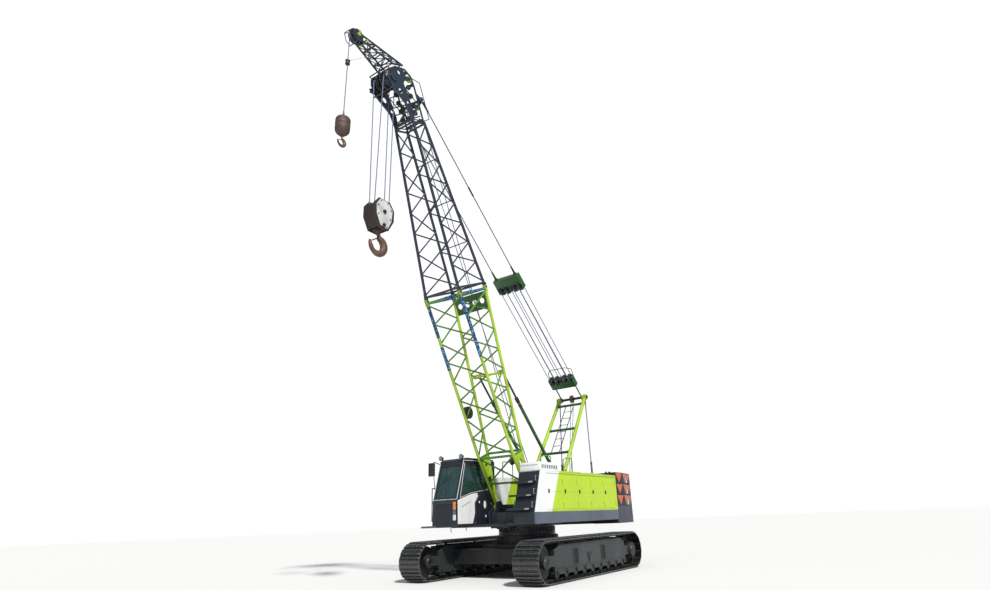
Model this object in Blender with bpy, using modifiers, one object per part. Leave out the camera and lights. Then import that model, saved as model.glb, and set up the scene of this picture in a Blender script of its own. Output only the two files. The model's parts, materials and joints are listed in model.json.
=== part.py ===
"""Crawler crane with a lattice boom, as separate solids in metres, +Z up.

The machine faces -Y and its left side is +X.  Everything is laid out about the slewing axis on the
ground, and the last step moves the machine so that its bounding box stands centred on the origin.
"""

import math

import bmesh
import bpy
from mathutils import Euler, Matrix, Vector

# ---------------------------------------------------------------- driving dimensions, metres

# Gaps
SEAT_GAP = 0.0003       # between pieces that rest on each other
RUN_GAP = 0.0005        # at pins, races and shaft ends that turn
MOVE_GAP = 0.010        # between moving pieces and what they pass

# Tracks
TRACK_GAUGE = 3.80
SHOE_WIDTH = 0.76
WHEEL_BASE = 4.99
TRACK_HEIGHT = 1.03
TRACK_THICK = 0.11
BEND_STEPS = 16
SHOE_COUNT = 60
SHOE_NOTCH = 0.035
FRAME_WIDTH = 0.50
FRAME_BOTTOM = 0.32
FRAME_TOP = 0.88
ROLLER_RADIUS = 0.12
ROLLER_COUNT = 9
CARRIER_RADIUS = 0.075
CARRIER_COUNT = 3
CARRIER_PITCH = 1.35
CARRIER_POST = 0.10
IDLER_WIDTH = 0.30
FORK_THICK = 0.05
SPROCKET_TEETH = 14
TOOTH_DEPTH = 0.05

# Car body and slewing ring
BODY_BOTTOM = 0.42
BODY_TOP = 1.06
BODY_RADIUS = 0.92
BEAM_Y = 1.15
BEAM_WIDTH = 0.46
BEAM_TOP = 0.86
RING_RADIUS = 0.80

# Revolving upper works
HALF_WIDTH = 1.67
DECK_BOTTOM = 1.39
DECK_PLATE = 0.03
SKIRT_TOP = 1.68
SKIRT_THICK = 0.06
HOUSE_TOP = 2.74
HOUSE_REAR = 2.86
HOUSE_INNER = 0.80
WALL = 0.04
LEFT_FRONT_FOOT = -2.04
LEFT_FRONT_TOP = -1.69
DECK_FRONT = -1.50
RIGHT_FRONT = -0.33
PLATE_TOP = 1.95
PLATE_THICK = 0.035
PLATE_REAR = 3.45
CAP_BOX = (0.98, 1.60, -1.66, -0.70, 2.96)

# Counterweight
WEIGHT_BOTTOM = 1.27
WEIGHT_TOP = 2.85
WEIGHT_BASE_TOP = 1.80
WEIGHT_FLAT = 3.40
WEIGHT_TAPER = (1.50, 4.36)
WEIGHT_REAR = (1.34, 4.50)
WEIGHT_SLOT = 0.76

# Side doors
DOOR_BOTTOM = 1.74
DOOR_TOP = 2.66
LEFT_DOOR_SEAMS = (-1.46, -0.58, 0.26, 1.10, 1.94, 2.76)
RIGHT_DOOR_SEAMS = (-0.10, 1.33, 2.76)
SEAM = 0.006
DOOR_POST = 0.02         # half the width of the post between two doors
HINGE_RADIUS = 0.014
HINGE_LENGTH = 0.09

# Engine, as one block
ENGINE = (0.92, 1.54, 0.70, 2.40, 2.42)

# Cab
CAB_INNER = -0.84
CAB_OUTER = -1.76
CAB_FRONT = -2.22
CAB_REAR = -0.42
CAB_TOP = 3.27
CAB_FLOOR = 1.42         # the deck plate's top
CAB_SILL = 2.10
CAB_WALL = 0.05
DOOR_SPAN = (-1.86, -1.12)
DOOR_THICK = 0.04
CATWALK = 0.42
CATWALK_THICK = 0.05

# Winches
DRUM_YS = {"main_drum": 0.30, "auxiliary_drum": 1.08, "luffing_drum": 2.42}
DRUM_Z = 1.80
DRUM_RADIUS = 0.24
FLANGE_RADIUS = 0.34

# Boom, in its own frame: s along the boom from the foot pin, t towards its back
BOOM_ANGLE = math.radians(66.2)
FOOT_Y = -0.615
FOOT_Z = 1.88
BOOM_HALF_WIDTH = 0.62
BASE_LENGTH = 6.50
KNEE = 1.57
KNEE_HALF_DEPTH = 0.23
JOINT_HALF_DEPTH = 0.645
TOP_END = 11.60
TOP_HALF_WIDTH = 0.345
TOP_HALF_DEPTH = 0.25
HEAD_END = 13.20
CHORD_RADIUS = 0.045
BRACE_RADIUS = 0.024
BASE_BAYS = 8
TOP_BAYS = 8
PIN_RADIUS = 0.055
FOOT_BOSS_RADIUS = 0.12

# Head sheaves and the two hook lines
HEAD_SHAFT = (12.82, -0.57)
SHEAVE_RADIUS = 0.25
SHEAVE_RIM = 0.04
SHEAVE_X = 0.09
SHEAVE_WIDTH = 0.07
ROPE_RADIUS = 0.012
ROPE_SEAT = 0.0027      # lets a rope's straight facets pass over a sheave's
BLOCK_SHAFT_DROP = 4.28
BLOCK_MARGIN = 0.055    # from the block's sheaves to the edge of its cheek plates
BLOCK_HALF_THICK = 0.20
BLOCK_PLATE = 0.03
BLOCK_TOP = 0.35        # heights above and below the block's sheave shaft
BLOCK_FOOT = 0.49
BLOCK_SPACER = 0.018
TRUNNION_TOP = 0.35
TRUNNION_FOOT = 0.47
MAIN_HOOK_SIZE = 0.44
MAIN_HOOK_DROP = 0.90
AUXILIARY_HOOK_SIZE = 0.20
AUXILIARY_HOOK_DROP = 0.20
TIP_SHAFT = (13.98, -1.30)
TIP_RADIUS = 0.20
WEIGHT_DROP = 2.83
WEIGHT_HEIGHT = 0.55
WEIGHT_RADIUS = 0.19

# Stays, spreaders and gantry
STAY_PIN = (12.30, 0.36)
STAY_RADIUS = 0.018
GANTRY_TOP = (3.34, 5.58)
GANTRY_FOOT = (0.76, 3.30)
GANTRY_TOP_X = 0.53
GANTRY_FOOT_X = 0.62
LEG_RADIUS = 0.065
TIE_RADIUS = 0.026
LOWER_SPREADER_AT = 0.80
UPPER_SPREADER_AT = 5.08
SPREADER_HALF = 0.50
SPREADER_SHAFT = 0.03
SPREADER_CORE_X = 0.26
SPREADER_CORE_HALF = 0.17
TOP_SHAFT_RADIUS = 0.045
TOP_BOSS_HALF = 0.08
BAIL_EYE_HALF = 0.022
STAY_BESIDE = 0.045      # from the head's side plate to a stay
PIN_STAY_RADIUS = 0.035

# Backstops
STOP_X = 0.45
STOP_FOOT = (1.80, 2.06)
STOP_HEAD = (3.88, 0.60)
STOP_RADIUS = 0.05
STOP_ROD_RADIUS = 0.032
STOP_TUBE_LENGTH = 4.00
STOP_ROD_HIDDEN = 1.50
STOP_FOOT_PIN = 0.03
STOP_HEAD_PIN = 0.02

COLOURS = {
    "lime": (0.48, 0.72, 0.05, 0.35, 0.0),
    "dark_green": (0.02, 0.22, 0.05, 0.4, 0.0),
    "navy": (0.035, 0.05, 0.10, 0.4, 0.0),
    "black": (0.02, 0.02, 0.024, 0.5, 0.0),
    "grey": (0.13, 0.15, 0.19, 0.45, 0.0),
    "white": (0.8, 0.8, 0.8, 0.35, 0.0),
    "steel": (0.35, 0.36, 0.38, 0.35, 1.0),
    "rust": (0.16, 0.09, 0.06, 0.7, 0.3),
    "glass": (0.02, 0.08, 0.09, 0.05, 0.0),
    "fabric": (0.05, 0.05, 0.055, 0.9, 0.0),
}


# ---------------------------------------------------------------- scene and materials

def clear_scene():
    """Remove whatever the file opened with."""
    for old in list(bpy.data.objects):
        bpy.data.objects.remove(old, do_unlink=True)


def material(name):
    """The material of one colour, made once."""
    red, green, blue, rough, metal = COLOURS[name]
    made = bpy.data.materials.get(name) or bpy.data.materials.new(name)
    made.use_nodes = True
    shader = made.node_tree.nodes["Principled BSDF"]
    shader.inputs["Base Color"].default_value = (red, green, blue, 1.0)
    shader.inputs["Roughness"].default_value = rough
    shader.inputs["Metallic"].default_value = metal
    return made


def collection(name):
    """A new collection in the scene."""
    made = bpy.data.collections.new(name)
    bpy.context.scene.collection.children.link(made)
    return made


# ---------------------------------------------------------------- shapes

def loose(mesh):
    """An unnamed working object that later becomes part of a node."""
    made = bpy.data.objects.new("piece", mesh)
    bpy.context.scene.collection.objects.link(made)
    return made


def from_bmesh(work):
    """A working object from a bmesh, with its faces turned outwards."""
    mesh = bpy.data.meshes.new("piece")
    bmesh.ops.recalc_face_normals(work, faces=work.faces)
    work.to_mesh(mesh)
    work.free()
    return loose(mesh)


def box(x, y, z):
    """A box from its two limits along each axis."""
    work = bmesh.new()
    size = Matrix.Diagonal((x[1] - x[0], y[1] - y[0], z[1] - z[0], 1.0))
    middle = Vector(((x[0] + x[1]) / 2, (y[0] + y[1]) / 2, (z[0] + z[1]) / 2))
    bmesh.ops.create_cube(work, size=1.0, matrix=Matrix.Translation(middle) @ size)
    return from_bmesh(work)


def rod(start, end, radius, sides=8, end_radius=None):
    """A round bar or cone between two points."""
    start, end = Vector(start), Vector(end)
    along = end - start
    turn = along.to_track_quat("Z", "Y").to_matrix().to_4x4()
    work = bmesh.new()
    bmesh.ops.create_cone(
        work, cap_ends=True, segments=sides, radius1=radius,
        radius2=radius if end_radius is None else end_radius, depth=along.length,
        matrix=Matrix.Translation((start + end) / 2) @ turn)
    return from_bmesh(work)


def evaluated(thing):
    """The mesh of an object with its modifiers, in the world frame."""
    graph = bpy.context.evaluated_depsgraph_get()
    mesh = bpy.data.meshes.new_from_object(thing.evaluated_get(graph))
    mesh.transform(thing.matrix_world)
    return mesh


def weld(mesh):
    """Join the points that a curve or a modifier leaves apart."""
    work = bmesh.new()
    work.from_mesh(mesh)
    bmesh.ops.remove_doubles(work, verts=work.verts, dist=0.00005)
    bmesh.ops.recalc_face_normals(work, faces=work.faces)
    work.to_mesh(mesh)
    work.free()
    return mesh


def bore_for(radius, sides):
    """The radius of a faceted hole in which a pin of this radius turns freely."""
    return radius / math.cos(math.pi / sides) + RUN_GAP


def solid_curve(curve):
    """Turn a curve into a closed mesh object and drop the curve."""
    carrier = bpy.data.objects.new("guide", curve)
    bpy.context.scene.collection.objects.link(carrier)
    bpy.context.view_layer.update()
    mesh = weld(evaluated(carrier))
    bpy.data.objects.remove(carrier, do_unlink=True)
    return loose(mesh)


def plate(outline, x, holes=()):
    """A flat plate between two x values, from (y, z) outlines."""
    curve = bpy.data.curves.new("outline", "CURVE")
    curve.dimensions = "2D"
    curve.fill_mode = "BOTH"
    curve.extrude = abs(x[1] - x[0]) / 2
    for loop in (outline, *holes):
        spline = curve.splines.new("POLY")
        spline.points.add(len(loop) - 1)
        spline.use_cyclic_u = True
        for point, (y, z) in zip(spline.points, loop):
            point.co = (y, z, 0.0, 1.0)
    made = solid_curve(curve)
    upright = Matrix(((0, 0, 1), (1, 0, 0), (0, 1, 0))).to_4x4()
    made.data.transform(Matrix.Translation(((x[0] + x[1]) / 2, 0, 0)) @ upright)
    return made


def slab(outline, z, holes=()):
    """A flat slab between two z values, from (x, y) outlines."""
    made = plate(outline, (z[0], z[1]), holes)
    flat = Matrix(((0, 1, 0), (0, 0, 1), (1, 0, 0))).to_4x4()
    made.data.transform(flat)
    return made


def arc(centre, radius, first, last, steps):
    """Points along an arc, with the angles in degrees."""
    found = []
    for step in range(steps + 1):
        angle = math.radians(first + (last - first) * step / steps)
        found.append((centre[0] + radius * math.cos(angle), centre[1] + radius * math.sin(angle)))
    return found


def circle(centre, radius, steps=10):
    """Points around a full circle."""
    return arc(centre, radius, 0, 360 * (steps - 1) / steps, steps - 1)


def tube_along(points, radius, resolution=1, radii=None):
    """A round tube along a list of points, with closed ends."""
    curve = bpy.data.curves.new("route", "CURVE")
    curve.dimensions = "3D"
    curve.bevel_depth = radius
    curve.bevel_resolution = resolution
    curve.use_fill_caps = True
    spline = curve.splines.new("POLY")
    spline.points.add(len(points) - 1)
    for index, place in enumerate(points):
        spline.points[index].co = (*place, 1.0)
        spline.points[index].radius = radii[index] if radii else 1.0
    return solid_curve(curve)


def turned(profile, centre, steps=20):
    """A body turned about the X axis through centre, from (x, radius) points."""
    work = bmesh.new()
    corners = [work.verts.new((radius, 0.0, x)) for x, radius in profile]
    for first, second in zip(corners, corners[1:]):
        work.edges.new((first, second))
    mesh = bpy.data.meshes.new("profile")
    work.to_mesh(mesh)
    work.free()
    carrier = loose(mesh)
    screw = carrier.modifiers.new("turn", "SCREW")
    screw.steps = steps
    screw.render_steps = steps
    screw.use_merge_vertices = True
    screw.merge_threshold = 0.0001
    bpy.context.view_layer.update()
    made = loose(weld(evaluated(carrier)))
    bpy.data.objects.remove(carrier, do_unlink=True)
    lay = Matrix(((0, 0, 1), (0, 1, 0), (-1, 0, 0))).to_4x4()
    made.data.transform(Matrix.Translation(centre) @ lay)
    return made


def merged(pieces):
    """Several working objects as one mesh object whose bodies may still cross."""
    work = bmesh.new()
    for piece in pieces:
        work.from_mesh(piece.data)
        bpy.data.objects.remove(piece, do_unlink=True)
    return from_bmesh(work)


def boolean(target, operand, operation, self_crossing=False):
    """One boolean step, which uses up both working objects."""
    step = target.modifiers.new(operation.lower(), "BOOLEAN")
    step.operation = operation
    step.solver = "EXACT"
    step.use_self = self_crossing
    step.object = operand
    bpy.context.view_layer.update()
    mesh = weld(evaluated(target))
    bpy.data.objects.remove(operand, do_unlink=True)
    bpy.data.objects.remove(target, do_unlink=True)
    return loose(mesh)


def union(pieces):
    """Working objects joined into one solid."""
    return boolean(pieces[0], merged(pieces[1:]), "UNION", True)


def cut(target, cutters):
    """A working object with the cutters taken out of it."""
    return boolean(target, merged(cutters), "DIFFERENCE", True)


def mirrored(piece):
    """A copy of a working object on the other side of the machine."""
    mesh = piece.data.copy()
    mesh.transform(Matrix.Diagonal((-1, 1, 1, 1)))
    mesh.flip_normals()
    return loose(mesh)


def both_sides(pieces):
    """Working objects together with their mirror images."""
    return pieces + [mirrored(piece) for piece in pieces]


def node(name, piece, colour, pivot=(0, 0, 0), parent=None):
    """Name a finished solid, give it its material, and put its origin on its pivot."""
    piece.name = name
    piece.data.name = name
    piece.data.transform(Matrix.Translation(-Vector(pivot)))
    piece.location = pivot
    piece.data.materials.clear()
    piece.data.materials.append(material(colour))
    piece.data.shade_smooth()
    piece.data.set_sharp_from_angle(angle=math.radians(35))
    bpy.context.scene.collection.objects.unlink(piece)
    CRANE.objects.link(piece)
    piece.parent = MACHINE if parent is None else parent
    return piece


# ---------------------------------------------------------------- undercarriage

def loop_point(share, radius):
    """A point of the track's loop, at a share of its way round and a distance from its core."""
    half = WHEEL_BASE / 2
    core = TRACK_HEIGHT / 2
    run, bend = WHEEL_BASE, math.pi * core
    way = (share % 1.0) * 2 * (run + bend)
    if way < run:
        return -half + way, core - radius
    way -= run
    if way < bend:
        angle = -math.pi / 2 + way / core
        return half + radius * math.cos(angle), core + radius * math.sin(angle)
    way -= bend
    if way < run:
        return half - way, core + radius
    angle = math.pi / 2 + (way - run) / core
    return -half + radius * math.cos(angle), core + radius * math.sin(angle)


def track_loop(side):
    """The endless track: shoes and links in one outline."""
    outer = TRACK_HEIGHT / 2
    outline = []
    for shoe in range(SHOE_COUNT):
        for offset, depth in ((0.0, SHOE_NOTCH), (0.08, 0.0), (0.92, 0.0)):
            outline.append(loop_point((shoe + offset) / SHOE_COUNT, outer - depth))
    inner_radius = outer - TRACK_THICK
    half = WHEEL_BASE / 2
    inner = (arc((half, outer), inner_radius, -90, 90, BEND_STEPS)
             + arc((-half, outer), inner_radius, 90, 270, BEND_STEPS))
    middle = side * TRACK_GAUGE / 2
    return plate(outline, (middle - SHOE_WIDTH / 2, middle + SHOE_WIDTH / 2), [inner])


def wheel_radius():
    """Idler and sprocket radius, inside the flats of the track's faceted bends."""
    return (TRACK_HEIGHT / 2 - TRACK_THICK) * math.cos(math.pi / (2 * BEND_STEPS)) - SEAT_GAP


def track_frame(side):
    """The side frame with its rollers, their brackets and the forks at both ends."""
    middle = side * TRACK_GAUGE / 2
    inner, outer = middle - FRAME_WIDTH / 2, middle + FRAME_WIDTH / 2
    reach = WHEEL_BASE / 2 - wheel_radius() - 0.06
    beam = [(-reach, FRAME_BOTTOM), (reach, FRAME_BOTTOM), (reach, FRAME_TOP - 0.12),
            (reach - 0.25, FRAME_TOP), (-reach + 0.25, FRAME_TOP), (-reach, FRAME_TOP - 0.12)]
    pieces = [plate(beam, (inner, outer))]
    fork_z = TRACK_HEIGHT / 2
    for end in (-1, 1):
        ys = sorted((end * (reach - 0.2), end * (WHEEL_BASE / 2 + 0.12)))
        for x in (inner, outer - FORK_THICK):
            pieces.append(box((x, x + FORK_THICK), ys, (fork_z - 0.12, fork_z + 0.12)))
    bottom = TRACK_THICK + SEAT_GAP + ROLLER_RADIUS
    for index in range(ROLLER_COUNT):
        y = (reach - ROLLER_RADIUS - 0.02) * (2 * index / (ROLLER_COUNT - 1) - 1)
        pieces.append(rod((inner + 0.04, y, bottom), (outer - 0.04, y, bottom), ROLLER_RADIUS, 8))
    for x in (inner, outer - 0.03):
        pieces.append(box((x, x + 0.03), (-reach, reach), (bottom - 0.03, FRAME_BOTTOM + 0.02)))
    top = TRACK_HEIGHT - TRACK_THICK - SEAT_GAP - CARRIER_RADIUS
    for index in range(CARRIER_COUNT):
        y = (index - (CARRIER_COUNT - 1) / 2) * CARRIER_PITCH
        pieces.append(rod((inner + 0.10, y, top), (outer - 0.10, y, top), CARRIER_RADIUS, 8))
        post = CARRIER_POST / 2
        pieces.append(box((middle - post, middle + post), (y - post, y + post), (FRAME_TOP - 0.20, top)))
    return union(pieces)


def end_wheel(side, end, toothed):
    """Idler or sprocket, on an axle that reaches to both fork plates."""
    centre = (side * TRACK_GAUGE / 2, end * WHEEL_BASE / 2, TRACK_HEIGHT / 2)
    radius = wheel_radius()
    half = IDLER_WIDTH / 2
    axle = FRAME_WIDTH / 2 - FORK_THICK - SEAT_GAP
    if not toothed:
        profile = [(axle, 0), (axle, 0.09), (half, 0.09), (half, radius),
                   (-half, radius), (-half, 0.09), (-axle, 0.09), (-axle, 0)]
        return turned(profile, centre, 20)
    outline = []
    for tooth in range(SPROCKET_TEETH):
        for offset, depth in ((0.0, TOOTH_DEPTH), (0.35, 0.0), (0.65, 0.0)):
            angle = math.tau * (tooth + offset) / SPROCKET_TEETH
            outline.append((centre[1] + (radius - depth) * math.cos(angle),
                            centre[2] + (radius - depth) * math.sin(angle)))
    wheel = plate(outline, (centre[0] - half * 0.6, centre[0] + half * 0.6))
    hub = rod((centre[0] - axle, *centre[1:]), (centre[0] + axle, *centre[1:]), 0.22, 14)
    return union([wheel, hub])


def car_body():
    """The centre body with its two cross beams, which end at the side frames."""
    inner = TRACK_GAUGE / 2 - FRAME_WIDTH / 2 - 0.02 - SEAT_GAP
    pieces = [rod((0, 0, BODY_BOTTOM), (0, 0, BODY_TOP), BODY_RADIUS, 32)]
    for end in (-1, 1):
        ys = (end * BEAM_Y - BEAM_WIDTH / 2, end * BEAM_Y + BEAM_WIDTH / 2)
        pieces.append(box((-inner, inner), ys, (FRAME_BOTTOM + 0.06, BEAM_TOP - 0.1)))
    pieces.append(box((-0.80, 0.80), (-BEAM_Y, BEAM_Y), (BODY_BOTTOM - 0.02, BEAM_TOP)))
    seats = [box((inner - 0.06, inner + 0.02), (end * BEAM_Y - 0.30, end * BEAM_Y + 0.30),
                 (FRAME_BOTTOM + 0.04, BEAM_TOP - 0.08)) for end in (-1, 1)]
    return union(pieces + both_sides(seats))


def undercarriage():
    """Both tracks with their frames and wheels, and the car body."""
    for side, word in ((1, "left"), (-1, "right")):
        node(f"{word}_track", track_loop(side), "black")
        node(f"{word}_track_frame", track_frame(side), "grey")
        node(f"{word}_idler", end_wheel(side, -1, False), "black")
        node(f"{word}_sprocket", end_wheel(side, 1, True), "black")
    node("car_body", car_body(), "black")


# ---------------------------------------------------------------- revolving frame and houses

def plate_gap():
    """Inner and outer faces of the frame's two plates on each side of a boom foot."""
    half = CHORD_RADIUS + MOVE_GAP
    return BOOM_HALF_WIDTH - half, BOOM_HALF_WIDTH + half


def revolving_frame():
    """Deck, skirts and main plates, with the boom's foot pins and the cab's support."""
    near, far = plate_gap()
    top = DECK_BOTTOM + DECK_PLATE
    pieces = [box((-HALF_WIDTH + 0.01, HALF_WIDTH - 0.01), (DECK_FRONT, HOUSE_REAR), (DECK_BOTTOM, top))]
    pieces.append(box((HALF_WIDTH - SKIRT_THICK, HALF_WIDTH), (LEFT_FRONT_FOOT, HOUSE_REAR),
                      (DECK_BOTTOM, SKIRT_TOP)))
    pieces.append(box((HALF_WIDTH - SKIRT_THICK, HALF_WIDTH), (DECK_FRONT, HOUSE_REAR),
                      (DECK_BOTTOM, SKIRT_TOP)))
    pieces.append(box((-HALF_WIDTH, SKIRT_THICK - HALF_WIDTH), (RIGHT_FRONT, HOUSE_REAR),
                      (DECK_BOTTOM, SKIRT_TOP)))
    pieces.append(box((0.72, HALF_WIDTH - 0.02), (LEFT_FRONT_FOOT + 0.01, DECK_FRONT + 0.05),
                      (DECK_BOTTOM, top)))
    profile = ([(-0.95, DECK_BOTTOM + 0.01), (-0.95, 1.70)]
               + arc((FOOT_Y, FOOT_Z), 0.17, 190, 20, 8)
               + [(-0.25, PLATE_TOP), (STOP_FOOT[0] - 0.30, PLATE_TOP)]
               + arc(STOP_FOOT, 0.09, 150, 30, 4)
               + [(STOP_FOOT[0] + 0.30, PLATE_TOP), (PLATE_REAR, PLATE_TOP),
                  (PLATE_REAR, DECK_BOTTOM + 0.01)])
    sides = [plate(profile, (near - PLATE_THICK, near)), plate(profile, (far, far + PLATE_THICK))]
    sides.append(rod((near - PLATE_THICK - 0.01, FOOT_Y, FOOT_Z),
                     (far + PLATE_THICK + 0.02, FOOT_Y, FOOT_Z), PIN_RADIUS, 16))
    sides.append(rod((STOP_X - 0.05, *STOP_FOOT), (near - 0.005, *STOP_FOOT), STOP_FOOT_PIN, 12))
    pieces += both_sides(sides)
    for y in (-0.93, 0.68, 1.45, PLATE_REAR - 0.05):
        pieces.append(box((-near + 0.005, near - 0.005), (y, y + 0.04), (DECK_BOTTOM + 0.01, 1.72)))
        pieces += both_sides([box((near, far), (y, y + 0.04), (DECK_BOTTOM + 0.01, 1.66))])
    bracket = [(DECK_FRONT + 0.08, top - 0.01), (-1.44, 2.02), (-1.20, 2.30), (-0.85, 2.30),
               (-0.60, 1.90), (-0.40, top - 0.01)]
    oval = [(-1.02 + 0.07 * y, 1.96 + 0.13 * z) for y, z in circle((0, 0), 1, 12)]
    pieces.append(plate(bracket, (CAB_INNER + 0.02, CAB_INNER + 0.05), [oval]))
    floor = CAB_FLOOR - CATWALK_THICK
    pieces.append(box((CAB_OUTER - CATWALK, CAB_INNER + 0.05), (CAB_FRONT - 0.02, CAB_REAR + 0.05),
                      (floor, CAB_FLOOR)))
    return union(pieces)


def shell_with_doors(side, front, seams, front_foot=None, front_top=None):
    """One machine house: side wall with door openings, roof and end walls, open at its base."""
    top = DECK_BOTTOM + DECK_PLATE + SEAT_GAP
    outer = HALF_WIDTH
    wall_front = front if front_foot is None else front_foot
    roof_front = front if front_top is None else front_top
    profile = [(wall_front, SKIRT_TOP + SEAT_GAP), (HOUSE_REAR, SKIRT_TOP + SEAT_GAP),
               (HOUSE_REAR, HOUSE_TOP), (roof_front, HOUSE_TOP)]
    openings = [[(a + DOOR_POST, DOOR_BOTTOM - SEAM), (hinge_y(b), DOOR_BOTTOM - SEAM),
                 (hinge_y(b), DOOR_TOP + SEAM), (a + DOOR_POST, DOOR_TOP + SEAM)]
                for a, b in zip(seams, seams[1:])]
    pieces = [plate(profile, (outer - WALL, outer), openings)]
    pieces.append(box((HOUSE_INNER, outer - 0.01), (front, HOUSE_REAR),
                      (HOUSE_TOP - WALL, HOUSE_TOP - 0.001)))
    pieces.append(box((HOUSE_INNER, HOUSE_INNER + WALL), (front, HOUSE_REAR), (top, HOUSE_TOP - 0.01)))
    for y in (front, HOUSE_REAR - WALL):
        pieces.append(box((HOUSE_INNER + 0.01, outer - SKIRT_THICK - SEAT_GAP), (y, y + WALL),
                          (top, HOUSE_TOP - 0.01)))
        pieces.append(box((outer - SKIRT_THICK - 0.05, outer - 0.01), (y, y + WALL),
                          (SKIRT_TOP + SEAT_GAP, HOUSE_TOP - 0.01)))
    for seam in seams[1:]:
        for z in hinge_heights():
            pieces.append(rod(hinge_point(seam, z - HINGE_LENGTH), hinge_point(seam, z), HINGE_RADIUS, 6))
            leaf_y = hinge_y(seam)
            pieces.append(box((outer - 0.01, hinge_x()), (leaf_y + 0.002, leaf_y + 0.016),
                              (z - HINGE_LENGTH, z)))
    if side > 0:
        x0, x1, y0, y1, z1 = CAP_BOX
        pieces.append(box((x0, x1), (y0, y1), (HOUSE_TOP - 0.01, z1)))
        roof_over = box((outer - SKIRT_THICK + 0.02, outer - 0.005), (roof_front + 0.05, front + 0.02),
                        (HOUSE_TOP - WALL, HOUSE_TOP - 0.002))
        pieces.append(roof_over)
    made = union(pieces)
    return made if side > 0 else flipped(made)


def flipped(piece):
    """A working object moved to the other side of the machine."""
    other = mirrored(piece)
    bpy.data.objects.remove(piece, do_unlink=True)
    return other


def hinge_x():
    """How far out the side doors' hinge pins stand."""
    return HALF_WIDTH + 0.001 + HINGE_RADIUS


def hinge_y(seam):
    """Where a hinge pin stands beside the seam at a door's rear edge."""
    return seam - DOOR_POST


def hinge_heights():
    """The heights at which a door's two hinges meet."""
    return DOOR_BOTTOM + 0.15, DOOR_TOP - 0.15


def hinge_point(seam, z):
    """A point on the axis of a left door's hinges."""
    return hinge_x(), hinge_y(seam), z


def side_door(front_seam, rear_seam):
    """A flush door with the upper halves of its hinges at its rear edge."""
    edge = hinge_y(rear_seam) - SEAM
    leaf = box((HALF_WIDTH - 0.036, HALF_WIDTH), (front_seam + DOOR_POST + SEAM, edge),
               (DOOR_BOTTOM, DOOR_TOP))
    pieces = [leaf]
    for z in hinge_heights():
        pieces.append(rod(hinge_point(rear_seam, z + RUN_GAP), hinge_point(rear_seam, z + HINGE_LENGTH),
                          HINGE_RADIUS, 6))
        pieces.append(box((HALF_WIDTH - 0.01, hinge_x()), (edge + SEAM - 0.03, edge),
                          (z + RUN_GAP, z + HINGE_LENGTH)))
    return union(pieces)


def front_steps():
    """The stepped box in front of the left house."""
    inner, outer = 0.95, HALF_WIDTH - SKIRT_THICK - SEAT_GAP
    low = DECK_BOTTOM + DECK_PLATE + SEAT_GAP
    high = HOUSE_TOP - 0.01 - SEAT_GAP
    slope = (LEFT_FRONT_TOP - LEFT_FRONT_FOOT) / (HOUSE_TOP - SKIRT_TOP)
    front = LEFT_FRONT_FOOT + 0.03
    profile = [(front, low), (front, SKIRT_TOP),
               (front + slope * (high - SKIRT_TOP) - 0.02, high), (DECK_FRONT - 0.07, high),
               (DECK_FRONT - SEAT_GAP, high - 0.05), (DECK_FRONT - SEAT_GAP, low)]
    pieces = [plate(profile, (inner, outer))]
    for z in (1.78, 2.12, 2.46):
        edge = front + slope * (z - SKIRT_TOP)
        pieces.append(box((inner - 0.16, outer - 0.10), (edge - 0.13, edge + 0.10), (z - 0.03, z)))
    return union(pieces)


def counterweight():
    """Base slab with a slot for the frame's tail, and a stack on each side."""
    taper_x, taper_y = WEIGHT_TAPER
    rear_x, rear_y = WEIGHT_REAR
    front = HOUSE_REAR + SEAT_GAP
    half = [(WEIGHT_SLOT, front), (HALF_WIDTH, front), (HALF_WIDTH, WEIGHT_FLAT), (taper_x, taper_y),
            (rear_x, rear_y)]
    slot_end = PLATE_REAR + SEAT_GAP
    base = half + [(-x, y) for x, y in reversed(half)] + [(-WEIGHT_SLOT, slot_end), (WEIGHT_SLOT, slot_end)]
    stack = half + [(WEIGHT_SLOT, rear_y)]
    pieces = both_sides([slab(stack, (WEIGHT_BASE_TOP - 0.02, WEIGHT_TOP))])
    pieces.append(slab(base, (WEIGHT_BOTTOM, WEIGHT_BASE_TOP)))
    return union(pieces)


def drum(y):
    """A winch drum whose shaft ends at the frame's inner plates."""
    end = plate_gap()[0] - PLATE_THICK - RUN_GAP
    body = end - 0.07
    profile = [(end, 0), (end, 0.07), (body, 0.07), (body, FLANGE_RADIUS), (body - 0.04, FLANGE_RADIUS),
               (body - 0.05, DRUM_RADIUS), (0.05 - body, DRUM_RADIUS), (0.04 - body, FLANGE_RADIUS),
               (-body, FLANGE_RADIUS), (-body, 0.07), (-end, 0.07), (-end, 0)]
    return turned(profile, (0, y, DRUM_Z), 16)


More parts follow.
